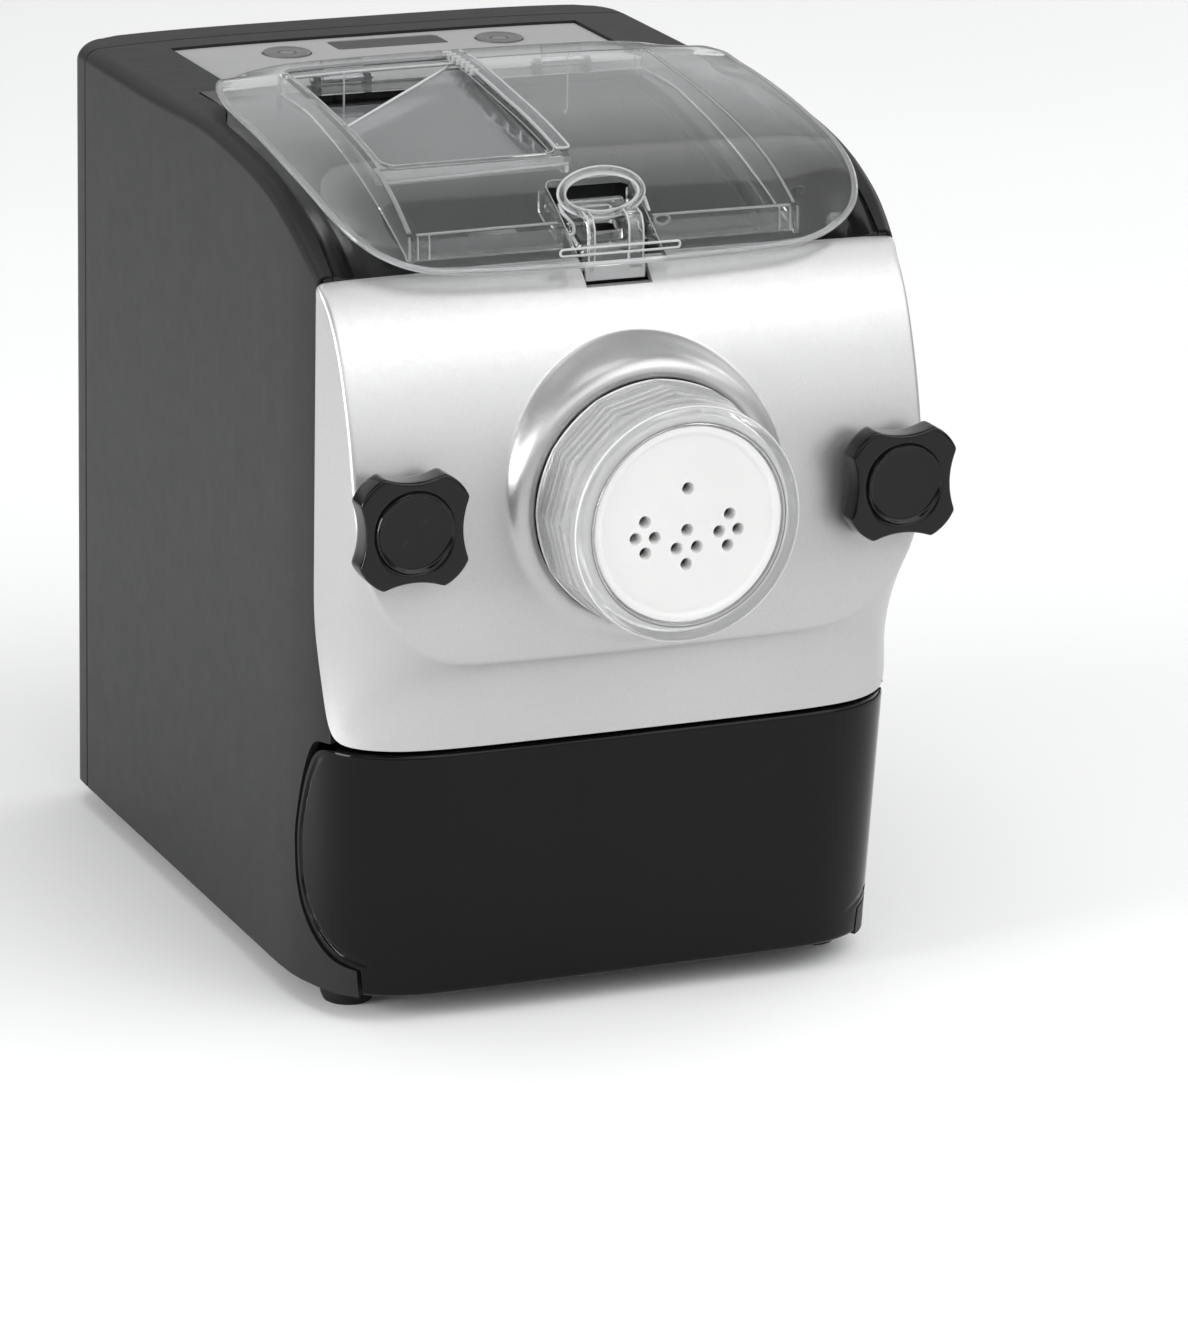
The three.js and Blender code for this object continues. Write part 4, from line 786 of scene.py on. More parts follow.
# ------------------------------------------------------------------ rear cover
def build_rear_cover():
    t = [0, 0.1, 1, 2, 3, 4, 4.6, 5]
    prof = {
        "v": pchip(list(zip(t, [-1.0, -1.3, -8, -14.5, -20, -24.6, -26.8, -27.7]))),
        "w": pchip(list(zip(t, [104.6, 105, 104.8, 103.1, 99.7, 94, 88.5, 82]))),
        "top": pchip(list(zip(t, [274.6, 275, 275.05, 275.0, 274.1, 270.6, 265.5, 258]))),
        "r": pchip(list(zip(t, [5.6, 6, 6.6, 8, 10, 12, 12.5, 12]))),
        "z0": pchip(list(zip(t, [0, 0, 0, 0, 0, 0.6, 2.6, 7]))),
    }
    rings = []
    for q in [0, 0.05] + list(np.linspace(0.1, 4.0, 37)) + list(np.linspace(4.0, 5, 13)[1:]):
        v, w, top, r, z0 = (float(prof[k](q)) for k in ("v", "w", "top", "r", "z0"))
        fall = float(smoothstep(225, 268, top))
        half = [(w, v, z0), (w, v, z0 + 1.0)]
        for k in range(13):
            z = z0 + 1 + (top - r - z0 - 1) * (k + 1) / 14
            half.append((w, v, z))
        for k in range(13):
            a = math.pi / 2 * k / 12
            half.append((w - r + r * math.cos(a), v, top - r + (r + fall * crown(99, 0)) * math.sin(a)))
        for k in range(1, 20):
            x = (w - r) * (1 - k / 20)
            half.append((x, v, top + fall * crown(x, 0)))
        ring = half + [(0, v, top + fall * crown(0, 0))] + [(-x, y, z) for x, y, z in reversed(half)]
        ring += [(-w * (1 - k / 6), v, z0) for k in range(1, 12)]
        rings.append(ring)
    n = len(rings[0])
    verts = [q for ring in rings for q in ring]
    faces = [[k * n + i, k * n + (i + 1) % n, (k + 1) * n + (i + 1) % n, (k + 1) * n + i] for k in range(len(rings) - 1) for i in range(n)]
    faces.append(list(range((len(rings) - 1) * n, len(rings) * n)))
    ob = mesh_object("rear_shell", verts, faces)
    fix_outward(ob, (0, 0, 140))
    thicken(ob, 2.6)
    join(ob, *[prism("t", circle(sx * 88, z, 5.6, 36), "v", -24, -1.2) for sx in (-1, 1) for z in (14, 256)])
    tools = []
    for sx in (-1, 1):
        for k in range(5):
            tools.append(prism("t", round_rect(sx * 30 - 21, sx * 30 + 21, 58 + k * 11, 62 + k * 11, 1.95, 6), "v", -34, -16))
        for z in (14, 256):
            tools.append(prism("t", circle(sx * 88, z, 1.9, 24), "v", -34, 0.5))
            tools.append(prism("t", circle(sx * 88, z, 3.9, 32), "v", -34, -19.6))
    tools.append(prism("t", round_rect(43, 75, 15, 39, 3), "v", -34, -16))
    tools.append(prism("t", round_rect(39.5, 78.5, 11.5, 42.5, 4), "v", -34, -24.7))
    cut(ob, *tools)
    tidy(ob)
    soften(ob, 0.4, 2, 40)
    finish_piece(ob, "casing", M["casing"], ["rear_cover"])


# ------------------------------------------------------------------ feet
def build_feet():
    for name, x, v in (("front_left", -86, 214), ("front_right", 86, 214), ("rear_left", -86, 22), ("rear_right", 86, 22)):
        prof = rounded(
            [(0, -9), (5.6, -9), (6.2, -8.5), (7.2, -9), (8.1, -9), (9.2, -6.8), (9.6, 0), (3, 0), (3, 3.4), (4, 3.4), (2.6, 4.8), (0, 4.8)],
            [0, 0.2, 0.3, 0.2, 1.0, 1.5, 0.2, 0, 0, 0, 0, 0],
        )
        ob = turned_up("rubber_foot_" + name, prof, x, v, 56)
        crisp(ob, 50)
        finish_piece(ob, "casing", M["rubber"], ["foot_" + name])


# ------------------------------------------------------------------ top surround
def deckZ(v):
    return topZ(v) - 1.2


def build_surround():
    vs = list(np.linspace(91, 125, 10)) + list(np.linspace(125, 225.1, 56))[1:]
    # sideways section: a channel along the sides and a low lip around the opening
    xs_half = [0, 20, 40, 56, 61.0, 63.8, 64.4, 65.4, 72, 80, 86, 89.4, 90.2, 91.0, 92.0, 94.4, 95.4, 96.4, 97.0, 97.6]
    channel = pchip([(0, 0), (89.4, 0), (90.3, -0.35), (91.2, -1.35), (92.2, -1.7), (94.2, -1.7), (95.2, -1.3), (96.2, -0.3), (97.6, 0)])
    lip = pchip([(0, 0.55), (63.9, 0.55), (64.7, 0.0), (97.6, 0)])
    xs = [-x for x in reversed(xs_half[1:])] + xs_half
    fade = lambda v: float(smoothstep(92, 100, v))
    step = lambda v: 1.0 * float(1 - smoothstep(95, 112, v))
    side = lambda v: float(smoothstep(106, 122, v))

    def narrow(x, v):
        if abs(x) <= 72:
            return x
        return math.copysign(72 + (abs(x) - 72) * (deck_edge(v) - 72) / 25.6, x)

    top = [[(narrow(x, v), v, float(deckZ(v)) + step(v) * float(smoothstep(62, 72, abs(x))) + (float(shoulder(v)) + 0.5 * float(smoothstep(122, 150, v))) * float(smoothstep(78, 97.6, abs(x))) + side(v) * 0.28 * float(channel(abs(x))) + fade(v) * float(lip(abs(x)))) for x in xs] for v in vs]
    under = [[(narrow(x, v), v, float(deckZ(v)) - 3.0) for x in xs] for v in vs]
    rear_top = [(narrow(x, 80), 80.0, 273.8 + float(smoothstep(62, 72, abs(x)))) for x in xs]
    rear_mid = [(narrow(x, 80), 90.6, 273.8 + float(smoothstep(62, 72, abs(x)))) for x in xs]
    rear_top_u = [(narrow(x, 80), 80.0, 270.8) for x in xs]
    rear_mid_u = [(narrow(x, 80), 90.6, 270.8) for x in xs]
    ob = slab("surround", [rear_top, rear_mid] + top, [rear_top_u, rear_mid_u] + under)
    cut(ob, prism("t", round_rect(-61, 61, 93.6, 219, 7, 10), "z", 220, 290))
    lugs = []
    for sx in (-1, 1):
        for x in (41 - 9.3, 41 + 9.3):
            lug = prism("t", [(81.4, 272.5), (86.8, 272.5), (86.0, 277.4), (85.1, 278.4), (82.9, 278.4), (82.0, 277.4)], "x", sx * x - 1.1, sx * x + 1.1)
            lugs.append(lug)
    join(ob, *lugs)
    pins = [prism("t", circle(84, 277.2, 1.15, 20), "x", 27 if sx > 0 else -55, 55 if sx > 0 else -27) for sx in (-1, 1)]
    cut(ob, *pins, prism("t", circle(80, 200, 2.6, 28), "z", 230, 280))
    tidy(ob)
    soften(ob, 0.45, 3, 42)
    finish_piece(ob, "casing", M["deck"], ["bowl_surround"])


# ------------------------------------------------------------------ controls
def build_controls():
    px = np.linspace(-77, 77, 45)
    pv = np.linspace(11.6, 79.4, 15)
    plate = slab(
        "plate", [[(x, v, 274.0 + crown(x, v)) for x in px] for v in pv], [[(x, v, 272.6 + crown(x, v)) for x in px] for v in pv]
    )
    join(plate, prism("t", round_rect(-59.5, 59.5, 16.5, 59.5, 2), "z", 270.6, 273.4))
    cut(
        plate,
        prism("t", circle(-40.3, 29.4, 8.8, 64), "z", 260, 280),
        prism("t", circle(40.3, 29.4, 8.8, 64), "z", 260, 280),
        prism("t", round_rect(-21, 21, 15.9, 30.4, 1.6), "z", 272.2, 280),
        prism("t", round_rect(-18, 18, 18.5, 28, 1), "z", 260, 280),
    )
    tidy(plate)
    plate.name = "control_face"
    soften(plate, 0.25, 2, 40)
    finish_piece(plate, "casing", M["plate"], ["control_plate"])

    glass = prism("display_glass", round_rect(-20.6, 20.6, 16.3, 30, 1.4), "z", 272.5, 274.3)
    soften(glass, 0.25, 2, 40)
    finish_piece(glass, "casing", M["window"], ["display_window"])

    for name, sx in (("power_button", -1), ("program_button", 1)):
        prof = rounded(
            [(0, 268.6), (2.4, 268.6), (2.4, 271), (8.4, 271), (8.4, 275.2), (7.1, 275.3), (6.0, 274.8), (0, 274.5)],
            [0, 0, 0, 0, 0.5, 0.5, 1.2, 0],
        )
        ob = turned_up(name + "_cap", prof, sx * 40.3, 29.4, 72)
        # a plain ring around the middle of the cap
        cut(ob, turned_up("t", [(2.9, 274.38), (3.5, 274.38), (3.5, 275.6), (2.9, 275.6)], sx * 40.3, 29.4, 48))
        tidy(ob)
        crisp(ob, 30)
        finish_piece(ob, name, M["button"], [name])


# ------------------------------------------------------------------ bowl
def bowl_outline(r, top, n=40):
    lean = 6.2 / 97
    a0 = math.atan(lean)
    pts = []
    for i in range(n + 1):
        a = -math.pi / 2 + (math.pi / 2 - a0) * i / n
        pts.append((r * math.cos(a), AXIS_Z + r * math.sin(a)))
    x, z = pts[-1]
    for k in range(1, 5):
        zz = z + (top - z) * k / 4
        pts.append((x + (zz - z) * lean, zz))
    return [(-x, z) for x, z in reversed(pts[1:])] + pts


def build_bowl():
    vs = [91] + list(np.linspace(118, 225, 24))
    bowl = prism("bowl", bowl_outline(56.4, 280), "v", 92, 221.5)
    above = lambda d: [(60, float(deckZ(91)) - d)] + [(v, float(deckZ(v)) - d) for v in vs] + [(240, 236 - d)]
    cut(bowl, prism("t", above(3.5) + [(240, 320), (60, 320)], "x", -130, 130))
    inner_v = [v for v in np.linspace(92, 219.5, 30)]
    rim = prism(
        "t",
        [(v, float(deckZ(v)) - 3.5) for v in inner_v] + [(v, float(deckZ(v)) - 5.7) for v in reversed(inner_v)],
        "x", -68, 68,
    )
    join(bowl, rim)
    cut(bowl, prism("t", bowl_outline(54, 300), "v", 94.6, 230), prism("t", circle(0, AXIS_Z, 9.8, 40), "v", 80, 100))
    tidy(bowl)
    bowl.name = "bowl_shell"
    soften(bowl, 0.5, 2, 40)
    finish_piece(bowl, "casing", M["clear_bowl"], ["mixing_bowl"])


def build_screw():
    ob = turned(
        "kneading_screw",
        rounded([(0, 98.4), (12, 98.4), (12, 116), (8.2, 119), (8.2, 221), (7.4, 223), (7.4, 284), (0, 284)], [0, 1, 1.5, 2, 1, 1, 1, 0]),
        0, AXIS_Z, 48,
    )
    for v, a in ((108, 0.2), (126, 1.9), (144, 3.5), (162, 5.1), (180, 0.4), (198, 2.2)):
        rings = []
        for q in np.linspace(0, 1, 12):
            r = 5 + 45.6 * q
            w = 4.2 - 0.6 * q
            h = 3.4 + 1.2 * q * q
            lean = 8 * q * q
            if q == 1:
                w, h = w * 0.7, h * 0.7
            ring = []
            for s in range(16):
                t = 2 * math.pi * s / 16
                c, d = math.cos(t), math.sin(t)
                sw = w * math.copysign(abs(c) ** 0.5, c)
                sh = h * math.copysign(abs(d) ** 0.5, d)
                ring.append((r * math.cos(a) - sw * math.sin(a), v + sh + lean, AXIS_Z + r * math.sin(a) + sw * math.cos(a)))
            rings.append(ring)
        join(ob, loft("t", rings))
    n = 150
    rings = []
    for i in range(n + 1):
        a = 2 * math.pi * 2.6 * i / n
        v = 228 + 52 * i / n
        sec = rounded([(6.4, -2.6), (25.4, -1.2), (25.4, 1.2), (6.4, 2.6)], [0, 0.8, 0.8, 0], 3)
        rings.append([(r * math.cos(a), v + d, AXIS_Z + r * math.sin(a)) for r, d in sec])
    join(ob, loft("t", rings))
    cut(ob, prism("t", circle(0, AXIS_Z, 6.0, 6), "v", 90, 113))
    tidy(ob)
    crisp(ob, 40)
    finish_piece(ob, "screw_drive", M["white"], ["mixing_screw"])


# ------------------------------------------------------------------ clear lid
lid_top = faired([
    (76, 281.2), (90, 281.8), (100, 281.8), (117, 281), (134, 279.8), (156, 277.2), (168, 275.2), (178, 273.2), (188, 270.8),
    (197, 268), (205, 264.8), (212, 261.2), (219, 257.2), (225, 253.4), (230, 250), (234, 247.4), (238.4, 244.6),
], 3.0)
LID_OUT = [
    (0, 81.4), (30, 81.4), (50, 81.5), (65, 82.0), (75, 83.4), (82.5, 86.4), (88.2, 91.2), (92, 97.6), (94.8, 106), (96.5, 118),
    (97.1, 134), (97.3, 152), (97.4, 174), (97.1, 192), (96.3, 205), (94.4, 215.6), (91.9, 222.4), (89.0, 227.3), (85.4, 230.6), (80, 233.0),
    (72, 235.0), (60, 236.3), (45, 237.2), (25, 237.8), (0, 238.0),
]


rim_lift = pchip([
    (76, 0.0), (90, 0.5), (106, 0.8), (112, 0.0), (118, -0.6), (126, -0.7), (134, -0.86), (143, -0.8), (152, -0.7), (163, -0.55), (174, -0.3), (183, 0.1), (192, 0.8),
    (200, 1.6), (206, 2.3), (212, 3.05), (216, 3.55), (220, 3.9), (224, 4.2), (227, 4.5), (230, 4.5), (234, 3.6), (238.4, 2.0),
])


def lid_surface(x, v, d):
    """Top of the lid: d is the distance inside its outline."""
    arch = 0.45 * (1 - (x / 97.0) ** 2)
    near = np.clip((30 - d) / 30.0, 0, 1) ** 2
    rise = 2.2 * (1 - np.minimum(abs(x) / 92.0, 1.0) ** 3) * (1 - smoothstep(94, 146, v))
    side = smoothstep(60, 97, abs(x))
    return lid_top(v) - 0.2 + arch + rise + rim_lift(v) * near * side - 2.6 * near * side * smoothstep(97, 86, v)


def build_lid():
    half = spline(LID_OUT, 161)
    k = np.exp(-0.5 * (np.arange(-6, 7) / 2.4) ** 2)
    k /= k.sum()
    full = np.vstack([half, np.stack([-half[::-1][1:-1, 0], half[::-1][1:-1, 1]], 1)])
    full = np.stack([np.convolve(np.r_[full[-6:, c], full[:, c], full[:6, c]], k, mode="valid") for c in range(2)], 1)
    n = len(full)
    centre = np.array([0.0, 160.0])
    T = 2.4
    rho = list(np.linspace(0, 0.86, 34)[1:]) + list(np.linspace(0.86, 1.0, 12)[1:])
    tan = np.roll(full, -1, 0) - np.roll(full, 1, 0)
    nrm = np.stack([tan[:, 1], -tan[:, 0]], 1)
    nrm /= np.linalg.norm(nrm, axis=1)[:, None]
    if (nrm * (full - centre)).sum() < 0:
        nrm = -nrm
    rim = full - nrm * (T / 2)

    def at(x, v, d):
        return float(lid_surface(x, v, d))

    top_rows, under_rows = [], []
    for q in rho:
        row_t, row_u = [], []
        for i in range(n):
            x, v = centre + (rim[i] - centre) * q
            d = np.linalg.norm(rim[i] - centre) * (1 - q)
            z = at(x, v, d)
            e = 0.5
            gv = (at(x, v + e, d) - at(x, v - e, d)) / (2 * e)
            l = math.hypot(1, gv)
            row_t.append((x, v, z))
            row_u.append((x, v + gv / l * T, z - T / l))
        top_rows.append(row_t)
        under_rows.append(row_u)
    verts, faces = [], []
    rows = []
    for row in top_rows:
        rows.append(row)
    # rounded rim
    last_t, last_u = top_rows[-1], under_rows[-1]
    for s in range(1, 8):
        a = math.pi * s / 8
        row = []
        for i in range(n):
            t, u = np.array(last_t[i]), np.array(last_u[i])
            mid = (t + u) / 2
            out = np.array([nrm[i][0], nrm[i][1], 0.0])
            row.append(tuple(mid + (t - u) / 2 * math.cos(a) + out * (T / 2) * math.sin(a)))
        rows.append(row)
    rows += under_rows[::-1]
    for row in rows:
        verts += row
    for r in range(len(rows) - 1):
        for i in range(n):
            j = (i + 1) % n
            faces.append([r * n + i, r * n + j, (r + 1) * n + j, (r + 1) * n + i])
    ct = len(verts)
    verts.append((centre[0], centre[1], at(0, 160, 80)))
    e = 0.5
    gv = (at(0, 160 + e, 80) - at(0, 160 - e, 80)) / (2 * e)
    l = math.hypot(1, gv)
    verts.append((0, 160 + gv / l * T, at(0, 160, 80) - T / l))
    for i in range(n):
        j = (i + 1) % n
        faces.append([ct, j, i])
        faces.append([ct + 1, (len(rows) - 1) * n + i, (len(rows) - 1) * n + j])
    lid = mesh_object("clear_lid", verts, faces)

    top = lambda x, v: at(x, v, max(0.0, 96 - abs(x)))
    # opening of the water funnel in the left rear, and the notch for the latch
    opening = round_rect(-65.6, -3.2, 91.0, 187.4, 4.6, 8)
    cut(lid, prism("t", opening, "z", 262, 300))
    # frame walls that stand on the surround
    frame_x = pchip([(95, 68.2), (150, 68.8), (190, 69.4), (222, 70.2)])
    st = list(np.linspace(95.6, 221.4, 48))
    parts = []
    for sx in (-1, 1):
        fx = lambda v: sx * float(frame_x(v))
        outer = [[(fx(v), v, top(66, v) - 1.4), (fx(v), v, float(deckZ(v)) + 0.75)] for v in st]
        inner = [[(fx(v) - sx * 2.0, v, top(66, v) - 1.4), (fx(v) - sx * 2.0, v, float(deckZ(v)) + 0.75)] for v in st]
        parts.append(slab("t", outer, inner))
    rx = list(np.linspace(-68, 68, 30))
    parts.append(slab(
        "t", [[(x, 97.4, top(x, 96.5) - 1.9), (x, 97.4, 274.6)] for x in rx], [[(x, 95.6, top(x, 96.5) - 1.9), (x, 95.6, 274.6)] for x in rx]
    ))
    parts.append(slab(
        "t", [[(x, 221.4, 254.6), (x, 221.4, 246.0)] for x in rx], [[(x, 219.9, 255.4), (x, 219.9, 246.4)] for x in rx]
    ))
    join(lid, *parts)
    wall = slab(
        "t", [[(0.8, v, top(0, v) - 1.0), (0.8, v, 268 - 5.0 * (v - 97) / 89)] for v in np.linspace(97, 187, 16)],
        [[(-1.2, v, top(0, v) - 1.0), (-1.2, v, 268 - 5.0 * (v - 97) / 89)] for v in np.linspace(97, 187, 16)],
    )
    for kk in range(6):
        cut(wall, prism("t", round_rect(-3, 3, 112 + kk * 11.4, 115 + kk * 11.4, 0.6, 3), "z", 250, 269.6 - kk * 0.3))
    front = slab(
        "t", [[(x, 188.4, top(x, 187.5) - 1.2), (x, 188.4, 264.2 + (x + 68) * 0.028)] for x in np.linspace(-68, 0.8, 12)],
        [[(x, 186.8, top(x, 187.5) - 1.2), (x, 186.8, 264.2 + (x + 68) * 0.028)] for x in np.linspace(-68, 0.8, 12)],
    )
    join(lid, wall, front)
    cut(lid, prism("t", round_rect(-15.4, 15.4, 203, 245, 3, 8), "z", 230, 290))
    cheeks = []
    for sx in (-1, 1):
        cheeks.append(prism("t", rounded([(203, 262), (220.6, 253), (220.6, 247.4), (203, 254.6)], 1.2), "x", 15 if sx > 0 else -17, 17 if sx > 0 else -15))
        cheeks.append(prism("t", circle(208, 257, 1.4, 20), "x", 8 if sx > 0 else -16, 16 if sx > 0 else -8))
    join(lid, *cheeks)
    for sx in (-1, 1):
        kn = prism("t", circle(84, 277.2, 1.8, 28), "x", sx * 41 - 7.3, sx * 41 + 7.3)
        join(kn, box("t", sx * 41 - 7.3, sx * 41 + 7.3, 83.2, 84.8, 277.2, 281.6))
        cut(kn, prism("t", circle(84, 277.2, 1.15, 20), "x", sx * 41 - 9, sx * 41 + 9))
        join(lid, kn)
    tidy(lid)
    lid.name = "clear_lid"
    crisp(lid, 32)
    finish_piece(lid, "lid", M["clear"], ["lid"])

    # sloping floor of the funnel, with a crest from corner to corner
    floor = loft("funnel_floor", [
        [(-66.2, 151.6, 275.6), (-8.0, 97.8, 281.0), (-1.6, 97.8, 281.0), (-1.6, 97.8, 279.2), (-8.0, 97.8, 279.2), (-66.2, 151.6, 273.8)],
        [(-66.2, 186.6, 264.9), (-8.0, 186.6, 265.9), (-1.6, 186.6, 266.0), (-1.6, 186.6, 264.2), (-8.0, 186.6, 264.1), (-66.2, 186.6, 263.1)],
    ])
    well = loft("t", [
        [(-66.2, 98.0, 270.4), (-9.0, 98.0, 270.4), (-9.0, 98.0, 268.8), (-66.2, 98.0, 268.8)],
        [(-66.2, 150.8, 269.4), (-65.4, 150.8, 269.4), (-65.4, 150.8, 267.8), (-66.2, 150.8, 267.8)],
    ])
    crisp(floor, 30)
    finish_piece(floor, "lid", M["clear_haze"])
    well.name = "funnel_well"
    crisp(well, 30)
    finish_piece(well, "lid", M["clear_well"])

    # painted highlights: pale tubes along the moulded edges stand in for the light these edges catch
    def line(name, pts, r, closed=False, n=10, squash=1.0, mat="clear_edge"):
        ob = tube(name, pts, r, n, squash, closed)
        crisp(ob, 60)
        finish_piece(ob, "lid", M[mat])
        return ob

    mid = [tuple((np.array(t) + np.array(u)) / 2) for t, u in zip(last_t, last_u)]
    # painted highlight along the lid's rim
    line("lid_rim_highlight", mid, 1.0, True, 14, mat="clear_rim")
    edge = [(x, v, top(x, v) - 0.1) for x, v in opening]
    dense = []
    for k in range(len(edge)):
        p0, p1 = np.array(edge[k]), np.array(edge[(k + 1) % len(edge)])
        m = max(1, int(np.linalg.norm(p1 - p0) / 4))
        for q in range(m):
            x, v, _ = p0 + (p1 - p0) * q / m
            dense.append((x, v, top(x, v) - 0.1))
    # painted highlights along the upper and lower edges of the funnel's opening
    line("funnel_edge", dense, 0.3, True, mat="clear_line")
    line("funnel_edge_low", [(x + (0.5 if x < -34 else -0.5), v, z - 2.4) for x, v, z in dense], 0.22, True, mat="clear_line")
    # bar beside the funnel, with a row of small teeth at its rear end
    bar = []
    for q in np.linspace(86.5, 183.2, 26):
        bar.append((-2.9, q, top(-2.9, q) + 0.25))
    for a in np.linspace(math.pi, 0, 10)[1:-1]:
        bar.append((-0.4 + 2.5 * math.cos(a), 183.2 + 2.5 * math.sin(a), top(0, 185) + 0.25))
    for q in np.linspace(183.2, 86.5, 26):
        bar.append((2.1, q, top(2.1, q) + 0.25))
    # painted highlight around the bar's outline
    line("funnel_bar_edge", bar, 0.5)
    rows_t = [[(x, q, top(x, q) + 0.3) for x in (-2.7, -0.4, 1.9)] for q in np.linspace(86.5, 184.6, 26)]
    rows_u = [[(x, q, top(x, q) - 0.9) for x in (-2.7, -0.4, 1.9)] for q in np.linspace(86.5, 184.6, 26)]
    strip = slab("funnel_bar", rows_t, rows_u)
    crisp(strip, 30)
    finish_piece(strip, "lid", M["clear_haze"])
    teeth = None
    for kk in range(7):
        q = 86.8 + kk * 4.2
        t = prism("funnel_teeth", round_rect(-5.0, -1.6, q, q + 2.2, 0.9, 4), "z", top(-3, q) - 1.4, top(-3, q) + 0.7)
        teeth = t if teeth is None else join(teeth, t)
    teeth.name = "funnel_teeth"
    soften(teeth, 0.25, 2, 40)
    finish_piece(teeth, "lid", M["clear_edge"])
    # painted highlights along the crest, the rear wall's top and the front wall's foot
    line("funnel_crest", [(-66.0, 151.4, 275.6), (-30, 118.2, 279.0), (-8.4, 98.2, 281.1), (-3.4, 93.6, 282.6)], 0.55)
    line("rear_wall_edge", [(x, 96.6, top(x, 96.5) - 2.0) for x in np.linspace(-65, -4, 20)], 0.6)
    line("front_wall_foot", [(x, 188.4, 264.3 + (x + 68) * 0.028) for x in np.linspace(-66, 0, 12)], 0.45)
    # painted highlights along the top edges and corners of the side and front walls under the lid
    for sx, tag, w in ((-1, "left", 0.95), (1, "right", 0.6)):
        pts = [(sx * (float(frame_x(v)) - 1.1), v, top(66, v) - 2.0) for v in np.linspace(187 if sx < 0 else 98, 219, 30)]
        line("side_wall_edge_" + tag, pts, w)
        line("corner_line_" + tag, [(sx * 69.6, 220.8, z) for z in (254.4, 250, 246.4)], 0.42)
        line("corner_line_inner_" + tag, [(sx * 66.8, 221.2, z) for z in (254.4, 250, 246.4)], 0.34)
        line("front_rib_" + tag, [(sx * 62.8, 221.4, z) for z in (255.0, 250, 246.4)], 0.34)
        for k, (dx, dv) in enumerate(((0.0, 0.0), (-2.4, 1.4), (-4.6, 0.4))):
            line("rear_corner_%s_%d" % (tag, k + 1), [(sx * (68.4 + dx), 95.8 + dv, z) for z in (top(66, 96) - 2.4, 278, 274.8)], 0.28, mat="clear_line")
    pts = [(x, 220.6, 255.2 + 0.35 * (1 - (x / 68.0) ** 2)) for x in np.linspace(-67, -17, 14)]
    line("front_wall_edge_left", pts, 0.6)
    line("front_wall_edge_right", [(-x, v, z) for x, v, z in pts], 0.6)
    # thin drip ribs
    for x, tag in ((-45.4, "left"), (37.6, "right")):
        rib = [(x, 98.4, z) for z in (top(x, 98) - 1.6, 276, 270, 263.4)] + [(x - 0.5, 98.4, 262.2), (x - 1.3, 98.4, 261.8)]
        line("drip_rib_" + tag, rib, 0.36)
    # painted highlights along the edges of the latch's notch and around the bar across it
    notch = [(-15.2, q, top(15, q) - 0.1) for q in np.linspace(233, 206, 12)]
    notch += [(-14.0, 203.8, top(15, 204) - 0.1), (-12.4, 203.1, top(15, 203) - 0.1), (12.4, 203.1, top(15, 203) - 0.1), (14.0, 203.8, top(15, 204) - 0.1)]
    notch += [(15.2, q, top(15, q) - 0.1) for q in np.linspace(206, 233, 12)]
    line("notch_edge", notch, 0.2, mat="clear_line")
    cross = [(x, 234.2 - 0.0006 * x * x, z) for x, z in round_rect(-21.4, 21.4, 247.7, 250.0, 1.1, 6)]
    line("notch_bar", cross, 0.42, True)


